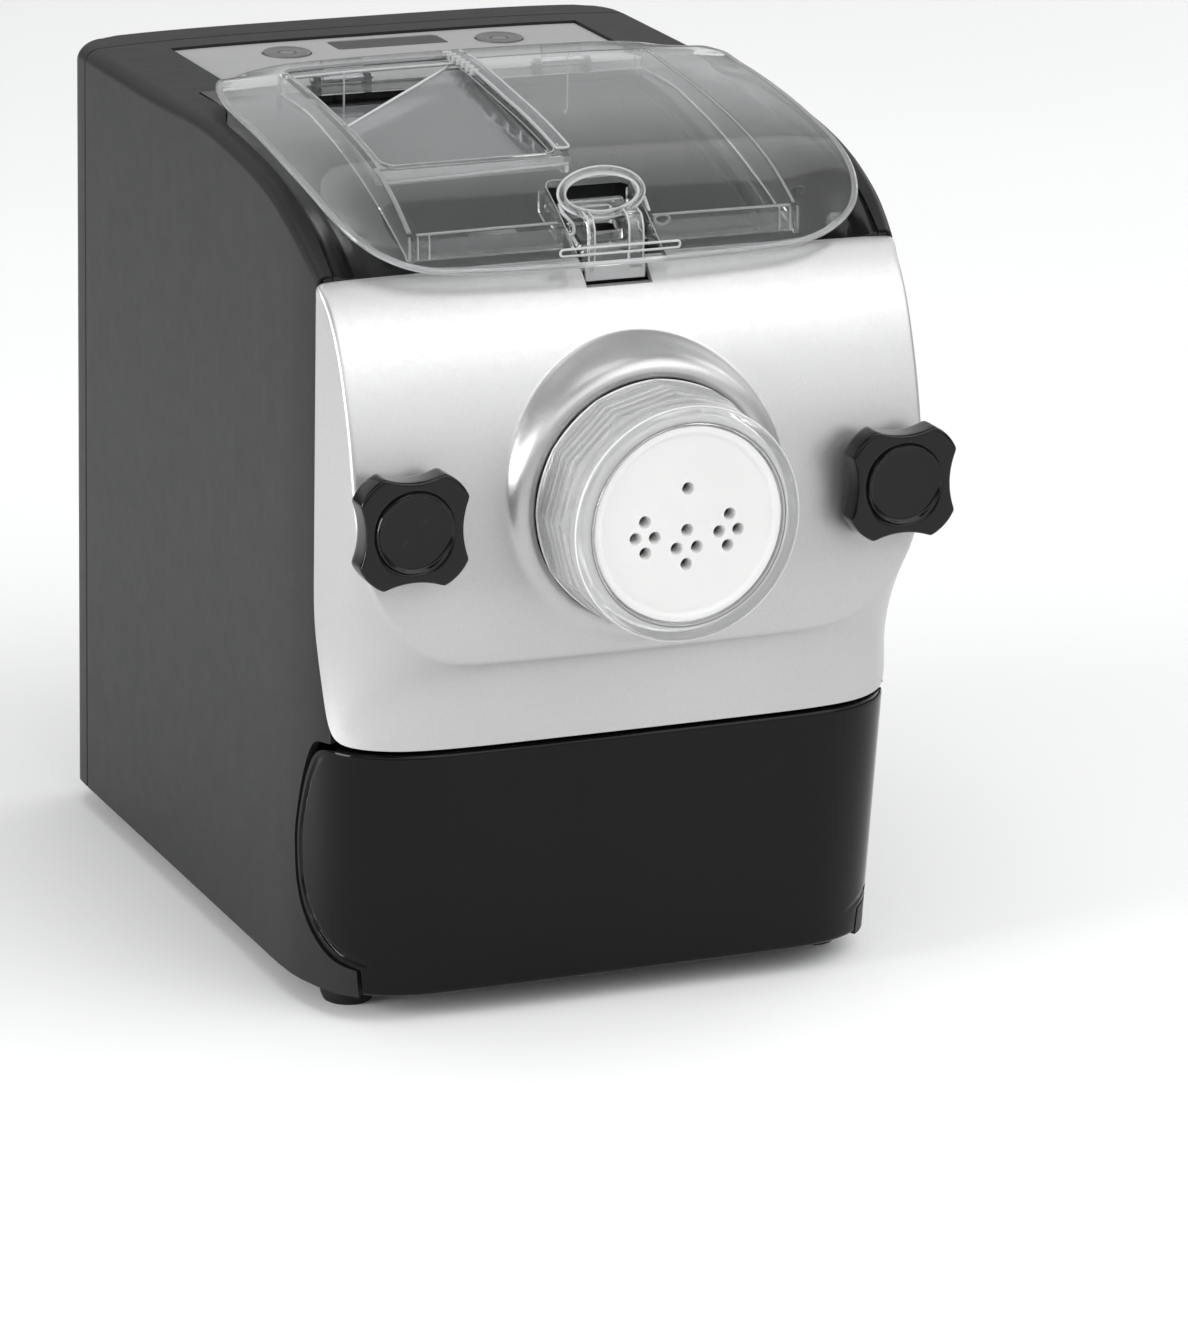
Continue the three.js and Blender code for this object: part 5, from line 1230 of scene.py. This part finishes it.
def build_latch():
    prof = rounded(
        [(205.4, 259.4), (206.6, 254.2), (212, 252), (223.4, 247), (226.2, 245.6), (226.2, 240.6), (228.8, 240.6), (229.4, 246.4),
         (226.4, 249.8), (213, 257.2), (209.4, 260.4)], [1, 1, 1.5, 1.5, 0.8, 0.6, 0.6, 1, 1.5, 1.5, 1], 4)
    ob = prism("latch_body", prof, "x", -10.8, 10.8)
    cut(ob, prism("t", round_rect(-6.4, 6.4, 211.5, 222, 2.2, 6), "z", 240, 262))

    # oval finger ring, leaning back a little
    def oval(a, b, dv=0.0, n=84):
        return [(a * math.cos(t), 216.5 - 0.34 * b * math.sin(t) + dv, 264.0 + b * math.sin(t)) for t in np.linspace(0, 2 * math.pi, n + 1)[:-1]]

    join(ob, tube("t", oval(14.3, 6.9), 1.4, 16, closed=True))
    # straps from the tab up to the ring
    strap = [
        (230.6, 240.8), (230.6, 251), (230.2, 255.4), (228.2, 258.8), (224.6, 259.9), (221.4, 259.3), (218.6, 257.9), (219.2, 256.2),
        (222.2, 257.6), (225.4, 257.9), (227.4, 256.6), (228.4, 253.8), (228.6, 250.6), (228.6, 240.8),
    ]
    strap = rounded(strap, 1.2, 4)
    for x0, x1 in ((-9.8, -7.6), (4.6, 9.8)):
        join(ob, prism("t", strap, "x", x0, x1))
    cut(ob, prism("t", circle(208, 257, 1.8, 24), "x", -14, 14))
    tidy(ob)
    ob.name = "latch_body"
    crisp(ob, 34)
    finish_piece(ob, "latch", M["clear"], ["lid_latch"])

    def line(name, pts, r, closed=False, body="latch"):
        q = tube(name, pts, r, 10, closed=closed)
        crisp(q, 60)
        finish_piece(q, body, M["clear_edge"])

    # painted highlights along the edges of the finger ring and the straps
    line("ring_edge_outer", oval(15.4, 8.0, 0.5), 0.55, True)
    line("ring_edge_inner", oval(13.2, 5.8, 0.9), 0.48, True)
    for k, x in enumerate((-9.7, -7.7, 4.7, 9.7)):
        line("strap_edge_%d" % (k + 1), [(x, 230.5, z) for z in (240.4, 245, 250.8)] + [(x, 230.1, 255.2), (x, 228.1, 258.6), (x, 224.6, 259.7), (x, 221.6, 259.2)], 0.34)
    # little eye on the right and hook on the left where the ring is hung
    eye = [(15.4, 217.2, 261.4), (16.2, 218.2, 258.4), (16.5, 219.0, 256.8)]
    line("ring_strand_right", [tuple(q) for q in spline(eye, 10)], 0.62)
    loop = [(20.2 + 2.7 * math.cos(t), 220.8, 253.6 + 1.9 * math.sin(t)) for t in np.linspace(0, 2 * math.pi, 28)[:-1]]
    line("ring_eye_right", loop, 0.55, True, "lid")
    hook = [(-15.0, 217.0, 261.4), (-14.2, 218.0, 258.4), (-12.6, 219.2, 256.4), (-11.2, 220.6, 254.2), (-11.4, 221.4, 252.2), (-13.0, 221.6, 251.4), (-14.0, 221.4, 252.6)]
    line("ring_strand_left", [tuple(q) for q in spline(hook, 22)], 0.6)
    # tab that shows in the front panel's notch
    tab = prism("latch_tab", rounded([(228.7, 237.6), (230.4, 237.6), (230.6, 243.6), (228.9, 243.6)], 0.4), "x", -10.7, 10.7)
    soften(tab, 0.3, 2, 40)
    finish_piece(tab, "latch", M["clear_edge"])


# ------------------------------------------------------------------ front panel
face_line = faired([
    (112, 258.8), (118, 260.9), (124, 262.4), (130, 263.3), (136, 263.8), (143, 263.7), (150, 263.0), (158, 261.9), (166, 260.6),
    (175, 259.0), (183, 257.4), (192, 255.3), (200, 253.0), (212, 248.7), (220, 245.2), (227, 241.5), (234, 236.6), (240, 230.9), (246, 224.4),
], 2.6)
bell_line = pchip([
    (41.0, 262.9), (41.5, 263.3), (42.3, 263.65), (43.4, 263.8), (44.6, 263.6), (46.0, 262.95), (47.3, 261.8), (48.5, 260.0), (49.5, 257.4),
    (50.3, 254.4), (51.0, 250.6), (51.8, 246), (52.7, 240), (54.2, 230), (58.6, 205), (130, -240),
])


def panel_face(x, z):
    f = face_line(z) - 1.3 * (np.abs(x) / 102.0) ** 3
    r = np.hypot(x, z - AXIS_Z)
    b = bell_line(r)
    k = 1.25
    d = np.clip((b - f) / k, -30, 30)
    return f + k * np.log1p(np.exp(d))


# matched guide points on the right half: edge of the raised face, control point and outer edge
GUIDE = [
    # edge x, z        control x, v, z          outer x, v, z
    ((0, 242.6), None, None), ((25, 242.6), None, None), ((50, 242.6), None, None), ((75, 242.6), None, None),
    ((92, 242.5), None, None), ((100.4, 242.3), None, None), ((102.3, 241.0), (103.6, 227.2, 242.8), (103.8, 225.6, 241.8)),
    ((102.2, 236.5), (103.4, 229.2, 237.0), (103.6, 225.6, 237.0)),
    ((102.2, 229), (103.3, 232.5, 229), (103.6, 225.6, 229)),
    ((102.1, 220), (103.3, 235.5, 220), (103.6, 225.6, 220)),
    ((102.0, 209), (103.3, 238.5, 209), (103.6, 225.6, 209)),
    ((102.0, 196), (103.3, 241, 196), (103.6, 225.6, 196)),
    ((102.0, 183), (103.3, 243, 183), (103.6, 225.6, 183)),
    ((101.5, 170), (103.1, 245, 170), (103.6, 225.6, 170)),
    ((99.9, 157), (102.6, 246.4, 156), (103.6, 225.6, 156)),
    ((97.0, 147.6), (101.8, 247.4, 144), (103.6, 225.6, 143)),
    ((92.9, 140.2), (100.2, 248.2, 133), (103.6, 225.9, 130)),
    ((88.6, 134.4), (97.4, 249.4, 124), (102.9, 228.9, 115.5)),
    ((83.8, 129.4), (92.6, 251.0, 116.5), (102.0, 232.4, 101)),
    ((77.8, 125.0), (86.0, 252.4, 113.0), (100.6, 235.8, 89.2)),
    ((70.5, 121.9), (77.5, 253.2, 112.4), (92.6, 244.4, 88.8)),
    ((61.5, 120.5), (66.5, 253.6, 112.6), (80.0, 250.4, 88.8)),
    ((48, 120.0), (50, 253.8, 112.8), (58, 252.6, 88.8)),
    ((26, 119.8), (26.5, 253.9, 112.8), (29, 252.95, 88.8)),
    ((0, 119.7), (0, 253.9, 112.8), (0, 253.0, 88.8)),
]


def build_front_panel():
    E, C, O = [], [], []
    for (ex, ez), c, o in GUIDE:
        ev = float(panel_face(ex, ez))
        if c is None:
            c = (ex + 0.2 * ex / 100, float(panel_face(ex, ez + 1.6)) + 0.25, ez + 1.5)
            o = (ex + 0.4 * ex / 100, c[1] - 2.6, ez + 1.7)
        E.append((ex, ev, ez))
        C.append(c)
        O.append(o)
    allp = np.hstack([np.array(E), np.array(C), np.array(O)])
    d = np.r_[0, np.cumsum(np.linalg.norm(np.diff(allp[:, :3], axis=0), axis=1) + 0.35 * np.linalg.norm(np.diff(allp[:, 6:], axis=0), axis=1))]
    fs = [pchip(list(zip(d, allp[:, c]))) for c in range(9)]
    N = 260
    u = np.linspace(0, d[-1], N)
    G = np.stack([f(u) for f in fs], 1)
    # even out the small unevenness of the guide points, but keep both ends on the middle plane
    sign = np.array([-1, 1, 1] * 3)
    lo = G[9:0:-1] * sign
    hi = G[-2:-11:-1] * sign

    def even(sigma):
        k = np.exp(-0.5 * (np.arange(-9, 10) / sigma) ** 2)
        k /= k.sum()
        return np.stack([np.convolve(np.r_[lo[:, c], G[:, c], hi[:, c]], k, mode="valid") for c in range(9)], 1)

    # the upper corners stay tight
    corner = int(np.argmin(np.hypot(G[:, 0] - 101.6, G[:, 2] - 241.4)))
    w = np.exp(-0.5 * ((np.arange(N) - corner) / 5.0) ** 2)[:, None]
    G = even(3.4) * (1 - w) + even(1.1) * w
    G[:, 1] = panel_face(G[:, 0], G[:, 2])
    loop = np.vstack([G, (G * sign)[::-1][1:-1]])
    n = len(loop)
    ang = np.arctan2(loop[:, 2] - AXIS_Z, loop[:, 0])
    L = np.hypot(loop[:, 0], loop[:, 2] - AXIS_Z)
    rows = []
    r0 = 41.4
    rows.append([(r0 * math.cos(a), 244.0, AXIS_Z + r0 * math.sin(a)) for a in ang])
    rows.append([(r0 * math.cos(a), 258.0, AXIS_Z + r0 * math.sin(a)) for a in ang])
    fillet = 1.7
    steps = 84
    for s in range(steps + 1):
        t = (s / steps) ** 1.45
        row = []
        for i in range(n):
            rr = r0 + 0.02 + t * (L[i] - fillet - r0 - 0.02)
            x, z = rr * math.cos(ang[i]), AXIS_Z + rr * math.sin(ang[i])
            row.append((x, float(panel_face(x, z)), z))
        rows.append(row)
    inner = rows[-1]
    e = loop[:, 0:3]
    c = loop[:, 3:6]
    o = loop[:, 6:9]
    # where the skirt's own curve leaves the rounded edge
    length = np.linalg.norm(c - e, axis=1) + np.linalg.norm(o - c, axis=1)
    t0 = np.clip(fillet / length * 1.25, 0.02, 0.35)
    bez = lambda t: (1 - t)[:, None] ** 2 * e + 2 * (t * (1 - t))[:, None] * c + t[:, None] ** 2 * o
    start = bez(t0)
    inn = np.array(inner)
    for s in range(1, 8):
        t = s / 8
        rows.append([tuple(q) for q in (1 - t) ** 2 * inn + 2 * t * (1 - t) * e + t * t * start])
    for s in range(0, 23):
        t = t0 + (1 - t0) * s / 22
        rows.append([tuple(q) for q in bez(t)])
    verts = [q for row in rows for q in row]
    faces = [
        [r * n + i, r * n + (i + 1) % n, (r + 1) * n + (i + 1) % n, (r + 1) * n + i]
        for r in range(len(rows) - 1) for i in range(n)
    ]
    ob = mesh_object("silver_front", verts, faces)
    # the sheet faces forward
    bm = bmesh.new()
    bm.from_mesh(ob.data)
    bm.normal_update()
    if sum(f.normal.y * f.calc_area() for f in bm.faces) > 0:
        bmesh.ops.reverse_faces(bm, faces=bm.faces)
    bm.to_mesh(ob.data)
    bm.free()
    thicken(ob, 2.4)
    seats = []
    for sx in (-1, 1):
        seats.append(turned("t", rounded([(0, 256), (12.5, 256), (12.2, 262.2), (0, 262.2)], [0, 0, 0.6, 0]), sx * 87.2, AXIS_Z, 64))
    join(ob, *seats)
    cut(ob, *[prism("t", circle(sx * 87.2, AXIS_Z, 4.2, 32), "v", 200, 300) for sx in (-1, 1)])
    cut(ob, prism("t", round_rect(-11.8, 11.8, 215, 245, 0.6), "z", 236.6, 252))
    towers = []
    for x, z, to in ((-36, 135, 262), (36, 135, 262), (-46, 214, 247), (46, 214, 247)):
        towers.append(prism("t", circle(x, z, 4, 28), "v", 229.4, to - 1.5))
    join(ob, *towers)
    cut(ob, box("t", -110, 110, 200, 225.5, 100, 300))
    tidy(ob)
    crisp(ob, 40)
    finish_piece(ob, "front_panel", M["silver"], ["front_panel"])


# ------------------------------------------------------------------ nozzle
def build_nozzle():
    # clear ring: twelve shallow flats, fine ridges around it and a tapering lip
    def radial(r, a, v):
        if r < 38.2:
            return r
        seg = math.pi / 6
        b = (a % seg) - seg / 2
        poly = math.cos(seg / 2) / math.cos(b)
        w = float(smoothstep(263.8, 266, v)) * float(1 - smoothstep(279, 287, v))
        return r * (1 - w + w * poly)

    prof = [(36.4, 264.4), (40.6, 264.4), (41.1, 264.7), (41.4, 265.2)]
    for k in range(6):
        v = 265.5 + k * 2.1
        prof += [(41.4, v), (41.4, v + 0.35), (41.0, v + 0.75), (40.5, v + 1.0), (40.5, v + 1.3), (41.0, v + 1.6), (41.35, v + 1.9)]
    prof += [(41.4, 278.2), (41.1, 278.9), (40.7, 279.6), (40.6, 282.0), (40.2, 284.4), (39.7, 287.0), (39.2, 289.6), (39.3, 290.6), (39.7, 291.4),
             (39.8, 292.4), (39.5, 293.5), (38.8, 294.2), (37.6, 294.4), (34.6, 294.4), (33.8, 294.2), (33.6, 293.6), (33.6, 291.4), (34.0, 291.0), (36.0, 290.9), (36.4, 290.6)]
    for k in range(10):
        v = 288.8 - k * 2.2
        prof += [(36.4, v), (36.5, v - 0.4), (37.1, v - 0.7), (37.3, v - 1.1), (37.1, v - 1.5), (36.5, v - 1.8)]
    ob = turned("nozzle_collar_ring", prof, 0, AXIS_Z, 192, radial)
    crisp(ob, 40)
    finish_piece(ob, "nozzle_ring", M["clear_ring"], ["nozzle_ring"])

    # hoops that paint light onto the ring: dark ones are painted shade seen through the ridges, pale ones are painted
    # highlights on the ridges, over the dark gap at the ring's foot and on the bright edge of the lip
    def hoop(name, r, v, thick, mat, flats=True):
        path = []
        for a in np.linspace(0, 2 * math.pi, 193)[:-1]:
            rr = radial(r + 100, a, v) * r / (r + 100) if flats else r
            path.append((rr * math.cos(a), v, AXIS_Z + rr * math.sin(a)))
        q = tube(name, path, thick, 10, 1.0, True)
        crisp(q, 60)
        finish_piece(q, "nozzle_ring", M[mat])

    # painted shade bands
    for k, (r, v, t) in enumerate(((40.2, 266.8, 0.22), (40.2, 268.9, 0.22), (40.2, 273.1, 0.25), (40.1, 277.3, 0.5), (39.5, 281.6, 0.8), (38.6, 287.0, 0.35))):
        hoop("ring_painted_shade_%d" % (k + 1), r, v, t, "clear_shade")
    # painted highlights on the ridges and at the ring's foot
    for k, (r, v, t) in enumerate(((40.9, 264.4, 0.5), (40.3, 267.9, 0.35), (40.3, 271.0, 0.5), (40.3, 275.1, 0.4), (40.0, 279.2, 0.5), (39.3, 284.6, 0.45))):
        hoop("ring_painted_highlight_%d" % (k + 1), r, v, t, "clear_highlight")
    # painted highlight on the lip's edge, painted shade beside it and inside it
    hoop("ring_lip_highlight", 39.3, 293.1, 0.5, "clear_highlight", False)
    hoop("ring_lip_shade", 38.9, 290.7, 0.4, "clear_shade", False)
    hoop("ring_lip_inner_shade", 34.4, 294.0, 0.38, "clear_shade", False)

    die = turned(
        "die_face",
        rounded(
            [(0, 287.4), (36, 287.4), (36, 290.6), (33, 290.6), (33, 293.8), (30.9, 293.8), (29.9, 292.9), (12, 293.1), (0, 293.2)],
            [0, 0.3, 0.3, 0.2, 0.7, 0.6, 0.8, 0, 0], 4,
        ),
        0, AXIS_Z, 128,
    )
    holes = [
        (-15, 2), (-11.4, -3.6), (-18.2, -3.4), (-14.6, -8.6), (0, -2), (-3.6, -8), (3.6, -8), (0, -13.6),
        (15, 2), (11.4, -3.6), (18.2, -3.4), (14.6, -8.6), (0, 12),
    ]
    for x, z in holes:
        cut(die, turned("t", [(0, 280), (2.0, 280), (1.7, 291.6), (2.3, 293.4), (2.3, 300), (0, 300)], x, AXIS_Z + z, 24))
    tidy(die)
    crisp(die, 34)
    finish_piece(die, "die", M["die"], ["die_disc"])


# ------------------------------------------------------------------ knobs
def lobe_radius(a, d):
    w = (a - math.pi / 4) % (math.pi / 2)
    w = math.degrees(min(w, math.pi / 2 - w))  # angle from the middle of a lobe
    if w <= 16:
        return 21.95 - 0.3 * (w / 16.0) ** 2 - d
    # round hollow between two lobes
    b = math.radians(45 - w)
    return 45.4 * math.cos(b) - math.sqrt(28.5 ** 2 - (45.4 * math.sin(b)) ** 2) - d


def build_knobs():
    n = 480
    base = np.array([lobe_radius(2 * math.pi * i / n, 0) for i in range(n)])
    k = np.exp(-0.5 * (np.arange(-6, 7) / 1.5) ** 2)
    k /= k.sum()
    base = np.convolve(np.r_[base[-6:], base, base[:6]], k, mode="valid")
    base = base * (21.95 / base.max())
    ang = 2 * math.pi * np.arange(n) / n
    for side, sx in (("left", -1), ("right", 1)):
        cx = sx * 87.2
        rings = []

        def ring(v, d):
            r = base - d
            return [(cx + r[i] * math.cos(ang[i]), v, AXIS_Z + r[i] * math.sin(ang[i])) for i in range(n)]

        prof = [(263.7, 2.2), (263.75, 1.7), (264.1, 0.9), (264.8, 0.3), (265.6, 0.05), (267, 0), (270, 0), (273.0, 0), (273.4, 0.05), (273.75, 0.2), (273.98, 0.42), (274.12, 0.75),
                (274.18, 1.2), (274.2, 1.7)]
        rings = [ring(v, d) for v, d in prof]
        # the front face closes in to the turned middle
        for q in (0.25, 0.5, 0.75, 1.0):
            r = (base - 1.7) * (1 - q) + 14.2 * q
            rings.append([(cx + r[i] * math.cos(ang[i]), 274.2 - 0.1 * q, AXIS_Z + r[i] * math.sin(ang[i])) for i in range(n)])
        for rr, v in ((14.0, 273.95), (13.85, 273.9), (13.7, 274.1), (13.55, 274.6), (13.35, 274.85), (13.1, 274.9), (12.85, 274.75), (12.6, 274.4), (12.3, 274.15),
                      (11.6, 274.02), (9, 273.94), (6, 273.9), (3, 273.9)):
            rings.append([(cx + rr * math.cos(a), v, AXIS_Z + rr * math.sin(a)) for a in ang])
        ob = loft("screw_knob_" + side, rings)
        cut(ob, prism("t", circle(cx, AXIS_Z, 5.6, 40), "v", 260, 272.8))
        tidy(ob)
        crisp(ob, 40)
        finish_piece(ob, "knob_" + side, M["knob"], ["knob_" + side])


# ------------------------------------------------------------------ drawer
CHEEK = [
    (0, 239.6), (10.0, 239.6), (10.5, 238.4), (11.2, 236.4), (13.4, 231.4), (17, 226.4), (20.6, 222.6), (25, 219.0), (29.4, 216.4), (39, 213.6),
    (50, 213.1), (58, 214.4), (65, 216.4), (72, 219.0), (78.2, 222.2), (82, 225.0), (84.6, 228.0), (86.2, 232.0), (86.8, 236.4), (90, 236.4),
]
cheek = pchip(CHEEK)


def build_drawer():
    zs = [0.8, 1.0, 1.4, 2.0, 3.2, 5, 7, 9, 9.8, 10.2, 10.6, 11.2, 12, 13.2, 14.6, 16.2, 18, 20, 22.4, 25, 28, 31, 35, 39, 43, 47, 51, 55, 59, 63, 66.5, 70,
          73, 76, 78.5, 80.5, 82.4, 84, 85, 85.8, 86.3, 86.6, 86.85, 87.1, 87.3, 87.4]
    dist_first = [0, 0.35, 0.7, 1.05, 1.4, 1.75, 2.1, 2.45, 2.8, 3.15, 3.5, 3.9, 4.4, 5, 5.8, 6.8, 8]
    bz = np.linspace(0.8, 87.4, 260)
    bv = cheek(bz)
    rows = []
    for z in zs:
        o = outline(z)
        seg = np.r_[0, np.cumsum(np.linalg.norm(np.diff(o, axis=0), axis=1))]
        v0 = float(cheek(z))
        s0 = float(np.interp(v0, o[:, 1], seg))
        s1 = seg[-1]
        ss = [s0 + d for d in dist_first]
        ss += list(s0 + 8 + (s1 - s0 - 8) * np.linspace(0, 1, 90)[1:] ** 0.92)
        half = []
        # rolled top edge and bottom edge
        roll = 0.0
        if z > 85.4:
            q = (z - 85.4) / 2.0
            roll = 2.0 * (1 - math.sqrt(max(0.0, 1 - q * q)))
        if z < 2.4:
            q = (2.4 - z) / 1.6
            roll = 1.6 * (1 - math.sqrt(max(0.0, 1 - q * q)))
        for s in ss:
            x, v = np.interp(s, seg, o[:, 0]), np.interp(s, seg, o[:, 1])
            x2, v2 = np.interp(min(s + 0.5, s1), seg, o[:, 0]), np.interp(min(s + 0.5, s1), seg, o[:, 1])
            x1, v1 = np.interp(max(s - 0.5, 0), seg, o[:, 0]), np.interp(max(s - 0.5, 0), seg, o[:, 1])
            tx, tv = x2 - x1, v2 - v1
            l = math.hypot(tx, tv)
            nx, nv = tv / l, -tx / l
            if s >= s1 - 1e-6:
                nx, nv = 0.0, 1.0
            # fine groove along the curved rear edge
            dd = np.min(np.hypot(bz - z, bv - v)) if s - s0 < 30 else 99
            g = 0.75 * float(smoothstep(1.5, 2.0, dd) * (1 - smoothstep(2.9, 3.4, dd))) * float(smoothstep(8, 18, z)) * float(1 - smoothstep(79, 84, z))
            half.append((x - nx * (roll + g), v - nv * (roll + g), z))
        rows.append(half + [(-x, v, zz) for x, v, zz in reversed(half[:-1])])
    R, C = len(rows), len(rows[0])
    verts = [q for row in rows for q in row]
    faces = [[i * C + j, i * C + j + 1, (i + 1) * C + j + 1, (i + 1) * C + j] for i in range(R - 1) for j in range(C - 1)]
    # the top closes with a flat ledge
    at = len(verts)
    for x, v, z in rows[-1]:
        l = math.hypot(x, v - 150)
        verts.append((x - x / l * 5.0, v - (v - 150) / l * 5.0, 87.4))
    for j in range(C - 1):
        faces.append([(R - 1) * C + j, (R - 1) * C + j + 1, at + j + 1, at + j])
    ob = mesh_object("drawer_face", verts, faces)
    fix_outward(ob, (0, 150, 40))
    thicken(ob, 2.6)
    join(ob, box("t", -70, -60, 236.6, 246.5, 14, 60), box("t", 60, 70, 236.6, 246.5, 14, 60))
    tidy(ob)
    soften(ob, 0.4, 3, 46)
    finish_piece(ob, "drawer", M["gloss"], ["drawer_front"])


# ------------------------------------------------------------------ CAD pieces that keep their shape
KEPT = {
    "power_inlet": ("dark", 0.5), "cover_screw_1": ("steel", 0.3), "cover_screw_2": ("steel", 0.3), "cover_screw_3": ("steel", 0.3),
    "cover_screw_4": ("steel", 0.3), "base_plate": ("dark", 0.5), "lid_switch": ("dark", 0.3), "control_board": ("board", 0.15),
    "power_switch": ("dark", 0.2), "program_switch": ("dark", 0.2), "power_board": ("board", 0.2), "front_frame": ("dark", 0.5),
    "panel_stud_left": ("steel", 0.25), "panel_stud_right": ("steel", 0.25), "drawer_bay": ("dark", 0.4), "gearbox_case": ("dark", 0.5),
    "gearbox_cover": ("dark", 0.5), "intermediate_pin": ("steel", 0.3), "shaft_bearing": ("bronze", 0.25), "shaft_seal": ("rubber", 0.3),
    "motor_can": ("steel", 0.6), "motor_end_cap": ("dark", 0.4), "motor_rotor": ("steel", 0.4), "motor_pinion": ("steel", 0.2),
    "cooling_fan": ("dark", 0.3), "intermediate_gear": ("natural", 0.2), "output_gear": ("natural", 0.2), "output_shaft": ("steel", 0.3),
    "hinge_pin_left": ("steel", 0.2), "hinge_pin_right": ("steel", 0.2), "panel_liner": ("white", 0.4), "bowl_gasket": ("rubber", 0.3),
    "extrusion_barrel": ("white", 0.4), "barrel_seal": ("rubber", 0.4), "knob_insert_left": ("bronze", 0.2), "knob_insert_right": ("bronze", 0.2),
    "knob_washer_left": ("steel", 0.15), "knob_washer_right": ("steel", 0.15), "drawer_tray": ("dark", 0.6),
}


def dress_kept():
    for name, (mat, width) in KEPT.items():
        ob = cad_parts[name]
        if not ob.material_slots:
            ob.data.materials.append(M[mat])
        for s in ob.material_slots:
            s.link = "OBJECT"
            s.material = M[mat]
        j = ob.modifiers.new("join", "WELD")
        j.merge_threshold = 2e-6
        m = ob.modifiers.new("edge", "BEVEL")
        m.width = width * MM
        m.segments = 2
        m.limit_method = "ANGLE"
        m.angle_limit = math.radians(33)


# ------------------------------------------------------------------ stage
def build_stage():
    me = bpy.data.meshes.new("floor")
    s = 30.0
    me.from_pydata([(-s, -s, 0), (s, -s, 0), (s, s, 0), (-s, s, 0)], [], [(0, 1, 2, 3)])
    floor = bpy.data.objects.new("floor", me)
    scene.collection.objects.link(floor)
    m, nt, b = base_material("pale_floor")
    tc = nt.nodes.new("ShaderNodeTexCoord").outputs["Object"]
    nt.links.new(blend_colours(nt, noise(nt, tc, 3.0, 2.0), (0.945, 0.945, 0.945), (0.96, 0.96, 0.96)), b.inputs["Base Color"])
    b.inputs["Roughness"].default_value = 0.75
    b.inputs["Specular IOR Level"].default_value = 0.1
    floor.data.materials.append(m)

    world = bpy.data.worlds.new("studio")
    scene.world = world
    world.use_nodes = True
    bg = world.node_tree.nodes["Background"]
    bg.inputs["Strength"].default_value = 1.0
    # a soft bright band around the horizon, strongest in front, and dim above and below
    wn = world.node_tree
    at_dir = wn.nodes.new("ShaderNodeTexCoord")
    split = wn.nodes.new("ShaderNodeSeparateXYZ")
    wn.links.new(at_dir.outputs["Generated"], split.inputs[0])

    def band(name, stops):
        ramp = wn.nodes.new("ShaderNodeValToRGB")
        ramp.name = name
        while len(ramp.color_ramp.elements) < len(stops):
            ramp.color_ramp.elements.new(0.5)
        for el, (pos, val) in zip(ramp.color_ramp.elements, stops):
            el.position = pos
            el.color = (0.985 * val, 0.992 * val, val, 1)
        wn.links.new(split.outputs["Z"], ramp.inputs["Fac"])
        return ramp.outputs["Color"]

    front = band("front_band", [(0.0, 0.12), (0.18, 0.12), (0.34, 0.55), (0.5, 1.0), (0.68, 0.5), (0.85, 0.06), (1.0, 0.05)])
    back = band("back_band", [(0.0, 0.06), (0.16, 0.10), (0.3, 0.40), (0.5, 0.36), (0.85, 0.05), (1.0, 0.05)])
    facing = wn.nodes.new("ShaderNodeVectorMath")
    facing.operation = "DOT_PRODUCT"
    facing.inputs[1].default_value = (0.397, -0.918, 0.0)
    wn.links.new(at_dir.outputs["Generated"], facing.inputs[0])
    share = wn.nodes.new("ShaderNodeMapRange")
    share.interpolation_type = "SMOOTHSTEP"
    share.inputs["From Min"].default_value = -0.35
    share.inputs["From Max"].default_value = 0.65
    wn.links.new(facing.outputs["Value"], share.inputs["Value"])
    mix = wn.nodes.new("ShaderNodeMix")
    mix.data_type = "RGBA"
    wn.links.new(share.outputs[0], mix.inputs["Factor"])
    wn.links.new(back, mix.inputs[6])
    wn.links.new(front, mix.inputs[7])
    wn.links.new(mix.outputs[2], bg.inputs["Color"])
    bg.inputs["Strength"].default_value = 2.1

    def area(name, at, to, size, power, colour=(1, 1, 1), spread=180):
        light = bpy.data.lights.new(name, "AREA")
        light.shape = "RECTANGLE"
        light.size, light.size_y = size
        light.energy = power
        light.color = colour
        light.spread = math.radians(spread)
        ob = bpy.data.objects.new(name, light)
        ob.location = at
        ob.rotation_euler = (Vector(to) - Vector(at)).to_track_quat("-Z", "Y").to_euler()
        scene.collection.objects.link(ob)

    area("key", (0.75, -1.25, 1.95), (0, 0, 0.12), (1.9, 1.5), 19)
    area("front", (1.0, -2.1, 0.62), (0, 0, 0.15), (1.5, 0.8), 3.2)
    area("left_low", (-1.9, -0.2, 0.5), (0, 0, 0.1), (0.8, 0.9), 27)
    area("top", (-0.3, 0.1, 2.6), (0, 0, 0.1), (1.4, 1.4), 11.0)
    area("rear_top", (0.7, 1.4, 2.2), (0, 0, 0.15), (1.6, 1.0), 2.0)
    area("right_rear", (2.2, 1.1, 1.5), (0, 0, 0.12), (1.4, 1.2), 11)


def set_look():
    scene.view_settings.view_transform = "Standard"
    scene.view_settings.look = "None"
    scene.view_settings.exposure = 0.0
    scene.view_settings.gamma = 1.0


build_stage()
set_look()
build_housing()
build_rear_cover()
build_feet()
build_surround()
build_controls()
build_bowl()
build_screw()
build_lid()
build_latch()
build_front_panel()
build_nozzle()
build_knobs()
build_drawer()
dress_kept()
